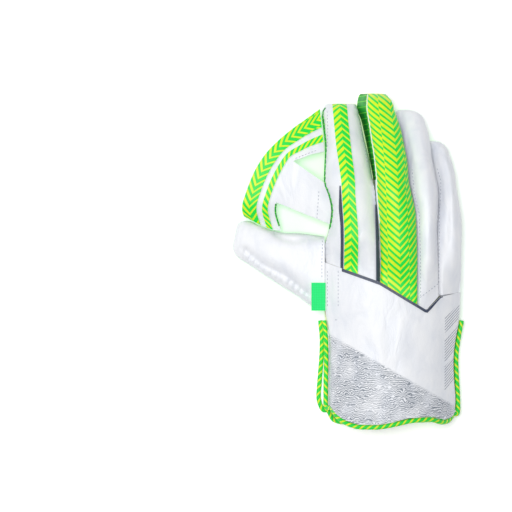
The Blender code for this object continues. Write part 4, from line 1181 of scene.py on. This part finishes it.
index_rows = finger_outer["index"][6:]
index_band = laid_strip("index_band_cloth", band_on(index_rows, INDEX_BAND, 10), index_weave, mapped=True)
stand_for(index_band, "index_band")
trim_rows = [row for row in index_rows if length_share(row[len(row) // 2][1]) < INDEX_TRIM[0][0]]
index_trim = laid_strip("index_trim_line", band_on(trim_rows, INDEX_TRIM, 4), dark_trim)
stand_for(index_trim, "index_trim")
trim_rows = [row for row in trim_rows
             if MIDDLE_TRIM[-1][0] - TRIM_END < length_share(row[len(row) // 2][1]) < MIDDLE_TRIM[0][0]]
middle_trim = laid_strip("middle_trim_line", band_on(trim_rows, MIDDLE_TRIM, 4), dark_trim)
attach(middle_trim, "root")


# Cuff
# Two padded halves close the wrist, sewn at the sides, with their mouth open towards -Y.
CUFF_WALL = 0.005
WRIST_GAP = 0.0002
PALM_CUFF_TOP = 0.283
BACK_RIM = [(0.00, 0.100), (0.030, 0.068), (0.08, 0.040), (0.15, 0.022), (0.24, 0.012), (0.37, 0.012),
            (0.50, 0.020), (0.62, 0.030), (0.78, 0.034), (0.88, 0.024), (0.94, 0.030), (0.975, 0.052),
            (1.00, 0.085)]
PALM_RIM = [(0.00, 0.055), (0.02, 0.037), (0.06, 0.022), (0.12, 0.017), (0.3, 0.019), (0.5, 0.026),
            (0.7, 0.022), (0.90, 0.026), (0.95, 0.036), (0.98, 0.050), (1.00, 0.062)]
CUFF_KNOT_STEPS = 56
CUFF_WALL_STEPS = 8
CUFF_ROW_STEPS = 40
PALM_CUFF_STEPS = (16, 60)
PALM_CORNER = 0.008


# The cuff's coat is printed with fine grey wavy lines below a slanting edge, and with groups of hatch lines
# beside its outer seam. The print is ink on the leather, so it has no relief.
PRINT_EDGE = from_photo((329, 333), (458, 407))
PRINT_LINE = 0.00085
PRINT_SWIRL = 0.006667
PRINT_WANDER = 0.0085
PRINT_PATCH = 0.01667
HATCH_LINE = 0.0027
HATCH_LEAN = 0.9
HATCH_GROUPS = [from_photo(*corners) for corners in (((445, 326), (461, 311)), ((445, 356), (461, 333)),
                                                     ((445, 384), (461, 360)))]

# The second colour is painted shade for the creases' hollows, as on the plain leather.
cuff_leather, tree, shader, place, shade = coated_leather("printed_coated_leather", "f3f4f7", "e6e9f0")
x, y, _ = add(tree, "SeparateXYZ", {0: place})
fall = (PRINT_EDGE[1][1] - PRINT_EDGE[0][1]) / (PRINT_EDGE[1][0] - PRINT_EDGE[0][0])
edge = add(tree, "Math", {0: x, 1: fall, 2: PRINT_EDGE[0][1] - fall * PRINT_EDGE[0][0]},
           operation="MULTIPLY_ADD")[0]
below = add(tree, "Math", {0: edge, 1: y}, operation="SUBTRACT")[0]
inked = add(tree, "MapRange", {0: below, 1: 0.0, 2: 0.003})[0]
swirl = add(tree, "TexNoise", {"Vector": place, "Scale": 1 / PRINT_SWIRL, "Detail": 2.0,
                               "Distortion": 0.5})["Fac"]
level = add(tree, "Math", {0: swirl, 1: PRINT_WANDER, 2: y}, operation="MULTIPLY_ADD")[0]
lines = add(tree, "Math", {0: level, 1: PRINT_LINE}, operation="PINGPONG")[0]
thin = add(tree, "MapRange", {0: lines, 1: 0.00068, 2: 0.0002})[0]
patches = add(tree, "TexNoise", {"Vector": place, "Scale": 1 / PRINT_PATCH, "Detail": 3.0})["Fac"]
weight = add(tree, "MapRange", {0: patches, 1: 0.36, 2: 0.56, 3: 0.55, 4: 1.0})[0]
ink = add(tree, "Math", {0: thin, 1: weight}, operation="MULTIPLY")[0]
ink = add(tree, "Math", {0: ink, 1: inked}, operation="MULTIPLY")[0]
printed = add(tree, "Mix", {0: ink, 6: shade, 7: linear("7c848f")}, data_type="RGBA")[2]
slant = add(tree, "Math", {0: x, 1: -1.0, 2: y}, operation="MULTIPLY_ADD")[0]
lines = add(tree, "Math", {0: slant, 1: HATCH_LINE / 2}, operation="PINGPONG")[0]
hatch = add(tree, "MapRange", {0: lines, 1: 0.00052, 2: 0.00022})[0]
for low, high in HATCH_GROUPS:
    middle = mix(low, high, 0.5)
    off_x = add(tree, "Math", {0: x, 1: middle[0]}, operation="SUBTRACT")[0]
    near_x = add(tree, "Math", {0: off_x, 1: 0.0, 2: 0.5 * (high[0] - low[0])}, operation="COMPARE")[0]
    off_y = add(tree, "Math", {0: off_x, 1: -HATCH_LEAN, 2: y}, operation="MULTIPLY_ADD")[0]
    near_y = add(tree, "Math", {0: off_y, 1: middle[1], 2: 0.5 * (high[1] - low[1])}, operation="COMPARE")[0]
    both = add(tree, "Math", {0: near_x, 1: near_y}, operation="MULTIPLY")[0]
    both = add(tree, "Math", {0: both, 1: hatch}, operation="MULTIPLY")[0]
    printed = add(tree, "Mix", {0: both, 6: printed, 7: linear("727b8b")}, data_type="RGBA")[2]
tree.links.new(printed, shader.inputs["Base Color"])


def cuff_section(v, inset, shares=None):
    """Points of the cuff's back at one station, with the shares of its own knots where none are given."""
    line = cuff_profile(v, inset)
    left, right = line[0][0], line[-1][0]
    if shares is None:
        marks = arc_shares(line)
        knots = [left + (0.04 + 0.925 * i / CUFF_KNOT_STEPS) * (right - left)
                 for i in range(CUFF_KNOT_STEPS + 1)]
        inner = [read_line([(a, mark) for (a, _), mark in zip(line, marks)], x, 1) for x in knots]
        before = [inner[0] * i / CUFF_WALL_STEPS for i in range(CUFF_WALL_STEPS)]
        after = [inner[-1] + (1 - inner[-1]) * i / CUFF_WALL_STEPS for i in range(1, CUFF_WALL_STEPS + 1)]
        shares = before + inner + after
    return sample(line, shares), shares


def cuff_back_rows(inset):
    rows = []
    left, right = flat_x(0.0), flat_x(1.0)
    for t in even_shares(CUFF_ROW_STEPS):
        _, shares = cuff_section(0.4 - 0.35 * t, 0.0)
        outer, _ = cuff_section(0.4 - 0.35 * t, 0.0, shares)
        inner, _ = cuff_section(0.4 - 0.35 * t, inset, shares)
        row = []
        for j in range(len(shares)):
            outer_u, inner_u = (clamp((line[j][0] - left) / (right - left)) for line in (outer, inner))
            top = wrist_line(inner_u) - WRIST_GAP / GLOVE_LENGTH
            v = top + (read_table(BACK_RIM, outer_u, 1) - top) * t
            points, _ = cuff_section(v, inset, shares)
            x, z = points[j]
            if j < CUFF_WALL_STEPS:
                edge = points[CUFF_WALL_STEPS][1]
                lip = 0.55 * ARCH_HEIGHT - LIP_DEPTH
                lifted = edge + (z - edge) * (edge - lip) / (edge - points[0][1])
                z += (lifted - z) * clamp((v - THUMB_ROWS[0][1] + 0.008) / 0.02 + 0.5)
            row.append((x, flat_y(v), z))
        rows.append(row)
    return rows


def cuff_palm_rows(inset):
    """Sections of the cuff's palm half: a flat bottom with a wall up each side to the seam."""
    rows = []
    top = SIDE_SEAM * ARCH_HEIGHT - 0.5 * SEAM_GAP
    for r in range(PALM_CUFF_STEPS[0] + 1):
        row = []
        for share in even_shares(PALM_CUFF_STEPS[1]):
            v = PALM_CUFF_TOP
            for _ in range(3):
                left = flat_x(read_table(CUFF_EDGES, v, 3))
                right = flat_x(read_table(CUFF_EDGES, v, 2))
                line = [(right, top), (right, 0.35 * top), (right - PALM_CORNER, 0.0),
                        (left + PALM_CORNER, 0.0), (left, 0.35 * top), (left, top)]
                x = sample(cut_corners(line, 3), [1 - share])[0][0]
                rim = read_table(PALM_RIM, (x - left) / (right - left), 1)
                v = PALM_CUFF_TOP + (rim - PALM_CUFF_TOP) * r / PALM_CUFF_STEPS[0]
            x, z = sample(cut_corners(offset_inward(line, inset), 3), [1 - share])[0]
            row.append((x, flat_y(v), z))
        rows.append(row)
    return rows


cuff_outer = work_in(cuff_back_rows(0.0), WEAR)
cuff_inner = cuff_back_rows(CUFF_WALL)
back_cuff = grid_piece("back_cuff_leather", cuff_outer, cuff_inner, (cuff_leather, lining))
stand_for(back_cuff, "back_cuff")
palm_cuff_outer = cuff_palm_rows(0.0)
palm_cuff_inner = cuff_palm_rows(CUFF_WALL)
palm_cuff = grid_piece("palm_cuff_leather", palm_cuff_outer, palm_cuff_inner, (white_leather, lining))
stand_for(palm_cuff, "palm_cuff")

line = []
for a, b in zip(cuff_outer[0], cuff_outer[2]):
    if flat_x(TRIM_SPAN[0]) <= a[0] <= flat_x(TRIM_SPAN[1]):
        width = TRIM_WIDTH * min(1.0, 0.15 + (flat_x(TRIM_SPAN[1]) - a[0]) / TRIM_TAPER)
        line.append((a, mix(a, b, width / math.dist(a, b))))
laid = [[upper for upper, _ in line], [lower for _, lower in line]]
wrist_trim = laid_strip("wrist_trim_line", laid, dark_trim)
stand_for(wrist_trim, "wrist_trim")


# Piping
# A cord wound with green and yellow bands is sewn round the mouth of each half of the cuff.
PIPING_RADIUS = 0.0023
PIPING_GAP = 0.0008
PIPING_START = 0.315
PIPING_STATIONS = 5
PIPING_TURN = 0.025
CORNER_CUT = 0.85
YARN_FIBRE = 0.00111
CORD_SIDES = 18
CORD_PITCH = 0.0067
CORD_STARTS = 2
CORD_YELLOW = 0.16
CORD_DIP = 0.00032
CORD_DIP_WIDTH = 0.05

# Polyester cord cover: two yarns wound round a core, a wide green one and a narrow yellow one, with a soft
# shine along their fibres and a dark line where they meet.
cord_cover, tree, shader = new_material("wound_polyester_yarn", "7cea30", 0.55, Sheen_Weight=0.2)
place = add(tree, "UVMap", uv_map="pattern")["UV"]
around, along, _ = add(tree, "SeparateXYZ", {0: place})
turns = add(tree, "Math", {0: along, 1: 1 / CORD_PITCH, 2: around}, operation="MULTIPLY_ADD")[0]
wave = add(tree, "Math", {0: turns, 1: 0.5}, operation="PINGPONG")[0]
band = add(tree, "MapRange", {0: wave, 1: CORD_YELLOW - 0.015, 2: CORD_YELLOW + 0.015})[0]
fibres = add(tree, "TexNoise", {"Vector": place, "Scale": 1 / YARN_FIBRE, "Detail": 3.0})["Fac"]
yellow = add(tree, "Mix", {0: fibres, 6: linear("f0fa24"), 7: linear("d0e010")}, data_type="RGBA")[2]
lime = add(tree, "Mix", {0: fibres, 6: linear("10ea44"), 7: linear("04c82c")}, data_type="RGBA")[2]
colour = add(tree, "Mix", {0: band, 6: yellow, 7: lime}, data_type="RGBA")[2]
surface(tree, shader, colour, (fibres, 0.0002, 0.5))


def rim_path(outer, inner, sides, left_column):
    """Route of a corded rim: down one side seam, round the mouth's rim and up the other side seam."""
    reach = PIPING_RADIUS + PIPING_GAP
    last, before = outer[-1], outer[-2]
    rim = []
    for j, point in enumerate(last):
        middle = mix(point, inner[-1][j], 0.5)
        along = Vector(last[min(j + 1, len(last) - 1)]) - Vector(last[max(j - 1, 0)])
        out = Vector(point) - Vector(before[j])
        out -= out.project(along)
        rim.append(tuple(Vector(middle) + out.normalized() * reach))
    runs = []
    for side, column in ((-1, 0), (1, -1)):
        x, y, z = last[column]
        off, lift = sides[side]
        run = []
        for share in even_shares(PIPING_STATIONS):
            v = PIPING_START + (length_share(y) + PIPING_TURN - PIPING_START) * share
            edge = flat_x(read_table(CUFF_EDGES, v, left_column if side < 0 else 2))
            run.append((edge + side * (reach + off), flat_y(v), z + lift))
        corner = CORNER_CUT * reach
        run.append((x + side * corner, y - corner, z + 1.5 * lift))
        runs.append(run)
    return runs[0] + rim[3:-3:3] + runs[1][::-1]


def tube_rows(path, radius, twist):
    """Rings of points round a path, and each one's turn and distance along it. A plain tube has no twist."""
    rings, places = [], []
    travel = 0.0
    for i, point in enumerate(path):
        ahead = Vector(path[min(i + 1, len(path) - 1)]) - Vector(path[max(i - 1, 0)])
        side = ahead.cross(Vector((0.0, 0.0, 1.0))).normalized()
        up = side.cross(ahead).normalized()
        travel += math.dist(point, path[max(i - 1, 0)])
        ring = []
        for s in range(CORD_SIDES + 1):
            turn = s / CORD_SIDES
            angle = 2 * math.pi * turn
            turns = (travel / CORD_PITCH + CORD_STARTS * twist * turn) % 1
            wave = min(turns, 1 - turns)
            dip = CORD_DIP * math.exp(-((wave - CORD_YELLOW) / CORD_DIP_WIDTH) ** 2) if twist else 0.0
            out = side * math.cos(angle) + up * math.sin(angle)
            ring.append(tuple(Vector(point) + out * (radius - dip)))
            places.append((CORD_STARTS * twist * turn, travel))
        rings.append(ring)
    return rings, places


def tube(name, path, radius, material, twist=0):
    rings, places = tube_rows(path, radius, twist)
    width = CORD_SIDES + 1
    caps = [tuple(range(width - 1)), tuple(len(rings) * width - 2 - i for i in range(width - 1))]
    piece = mesh_piece(name, flatten(rings), grid_quads(len(rings), width) + caps, (material,))
    mesh = piece.data
    layer = mesh.uv_layers.new(name="pattern")
    for loop in mesh.loops:
        layer.data[loop.index].uv = places[loop.vertex_index]
    shape = bmesh.new()
    shape.from_mesh(mesh)
    bmesh.ops.remove_doubles(shape, verts=shape.verts, dist=1e-7)
    bmesh.ops.recalc_face_normals(shape, faces=shape.faces)
    shape.to_mesh(mesh)
    shape.free()
    return piece


back_sides = {-1: (0.0, 0.0018), 1: (0.0, 0.0028)}
palm_sides = {-1: (0.0035, -0.0018), 1: (0.0, -0.0024)}
for node, outer, inner, sides, left_column, twist in (
    ("back_piping", cuff_outer, cuff_inner, back_sides, 1, -1),
    ("palm_piping", palm_cuff_outer, palm_cuff_inner, palm_sides, 3, 1),
):
    route = smooth_path(rim_path(outer, inner, sides, left_column), 8)
    piping = tube(f"{node}_cord", route, PIPING_RADIUS, cord_cover, twist)
    stand_for(piping, node)


# Wrist tab
# A small folded tab of bright green webbing, sewn in at the thumb's side of the wrist.
TAB_WIDTH = 0.0133
TAB_LENGTH = 0.0266
TAB_WALL = 0.0012
TAB_DROOP = 0.0008
TAB_SEAT = 0.0005
TAB_PLACE = 0.388
TAB_HEIGHT = 0.52

# Nylon webbing: flat yarns over and under each other, bright green and softly matt. They lie 0.8 mm
# apart, and are drawn twice as coarse so that they show.
YARN = 0.0016
tab_cloth, tree, shader = new_material("nylon_webbing", "10f07b", 0.7, Sheen_Weight=0.2)
place = add(tree, "TexCoord")["Object"]
weft = add(tree, "TexWave", {"Vector": place, "Scale": WAVE_TURN / YARN}, bands_direction="X")["Fac"]
warp = add(tree, "TexWave", {"Vector": place, "Scale": WAVE_TURN / YARN}, bands_direction="Y")["Fac"]
weave = add(tree, "Math", {0: weft, 1: warp}, operation="MULTIPLY")[0]
tone = add(tree, "Mix", {0: weave, 6: linear("0ce873"), 7: linear("1cff8e")}, data_type="RGBA")[2]
surface(tree, shader, tone, (weave, 0.0003, 0.6))
tab_top = []
for share in even_shares(8):
    x = flat_x(0.0) + TAB_SEAT - TAB_WIDTH * (1 - share)
    z = TAB_HEIGHT * ARCH_HEIGHT + TAB_DROOP * share ** 2
    tab_top.append([(x, flat_y(TAB_PLACE) + TAB_LENGTH * (0.5 - s), z) for s in even_shares(16)])
tab_bottom = [[(x, y, z - TAB_WALL) for x, y, z in row] for row in tab_top]
tab = grid_piece("wrist_tab_cloth", tab_top, tab_bottom, (tab_cloth,))
stand_for(tab, "wrist_tab")


# Stitches and welts
# The pieces are sewn with grey polyester thread, and a rolled edge of the palm's rubber or of white leather
# shows along some of the seams.
STITCH_PITCH = 0.0034
STITCH_LENGTH = 0.0019
STITCH_RADIUS = 0.00032
STITCH_SIDES = 6
STITCH_RINGS = ((0.0, 0.25), (0.18, 0.9), (0.5, 1.0), (0.82, 0.9), (1.0, 0.25))  # along, share of radius
THREAD_PLY = 0.0004
STITCH_LINES = {  # places in the photograph
    "index_left": [(327.5, 109), (328, 128), (327.5, 147)],
    "index_crotch": [(327, 188), (332, 204), (331.5, 218), (328, 230)],
    "index_right": [(358.5, 111), (360, 118), (361, 130), (362.5, 137), (367, 163)],
    "panel_right": [(411.5, 168), (413.5, 195), (418, 213), (419.5, 258), (420, 297)],
    "little_seam": [(438, 167), (441.5, 180), (441, 195), (439.5, 215), (439, 283), (428, 291), (418.5, 298)],
    "cuff_left": [(327.5, 270), (327.5, 307)],
    "cuff_inner": [(338, 270), (338, 307)],
    "cuff_corner": [(330, 320), (338, 320)],
    "thumb_root": [(323, 236), (322, 262), (322, 278)],
    "web_hole": [(295, 158), (306, 153.5), (317, 149.5)],
    "web_bar": [(319, 190), (318, 205), (317, 219)],
}

thread, tree, shader = new_material("polyester_thread", "b3b9c4", 0.6, Sheen_Weight=0.2)
place = add(tree, "TexCoord")["Object"]
ply = add(tree, "TexNoise", {"Vector": place, "Scale": 1 / THREAD_PLY})["Fac"]
tone = add(tree, "Mix", {0: ply, 6: linear("8f96a3"), 7: linear("c9ced8")}, data_type="RGBA")[2]
surface(tree, shader, tone)

tops = []
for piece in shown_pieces():
    if piece.type == "MESH" and not piece.hide_render:
        tops.append(BVHTree.FromPolygons([v.co for v in piece.data.vertices],
                                         [f.vertices for f in piece.data.polygons]))


def drape(x, y):
    """The highest place of the glove over a spot of the table."""
    hits = [top.ray_cast(Vector((x, y, 0.2)), -UP)[0] for top in tops]
    heights = [hit.z for hit in hits if hit is not None]
    return Vector((x, y, max(heights))) if heights else None


verts, faces = [], []
for line in STITCH_LINES.values():
    spots = from_photo(*line)
    length = sum(math.dist(p, q) for p, q in zip(spots, spots[1:]))
    half = 0.5 * STITCH_LENGTH / length
    count = round(length / STITCH_PITCH)
    for n in range(count):
        middle = (n + 0.5) / count
        start, end = (drape(*spot) for spot in sample(spots, [middle - half, middle + half]))
        if start is None or end is None or abs(start.z - end.z) > STITCH_LENGTH:
            continue
        along = (end - start).normalized()
        side = along.cross(UP).normalized()
        up = side.cross(along)
        faces += ring_faces(len(verts), STITCH_SIDES, len(STITCH_RINGS) - 1)
        for share, width in STITCH_RINGS:
            centre = start.lerp(end, share) + up * STITCH_RADIUS * 0.5 * width
            verts += ring_points(centre, side, up, STITCH_RADIUS * width, STITCH_SIDES)
stitches = mesh_piece("seam_stitches", verts, faces, (thread,))
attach(stitches, "root")

WELT_RADIUS = 0.0008
index_welt = [(x - 0.5 * WELT_RADIUS, y, z - WELT_RADIUS) for x, y, z in
              (row[WALL_STEPS] for row in finger_outer["index"][8:])
              if INDEX_EDGE_END < length_share(y)]
middle_welt = [(x - 0.3 * WELT_RADIUS, y, z) for x, y, z in
               (row[WALL_STEPS] for row in finger_outer["middle"][5:]) if length_share(y) > 0.60]
web_welt = [row[0] for row in web_rows(WEB_LEATHER, [1.0])[BAR_ROWS[1] * WEB_STEPS + 1:-4]]
for name, route, radius, material, slot in (
    ("web_edge_welt", web_welt, WELT_RADIUS, shaded_side_rubber, "green_rubber"),
    ("index_edge_welt", index_welt, WELT_RADIUS, shaded_side_rubber, "green_rubber"),
    ("middle_edge_welt", middle_welt, 0.7 * WELT_RADIUS, white_leather, "white_leather"),
):
    welt = tube(name, route, radius, material)
    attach(welt, "root")

low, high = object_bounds()
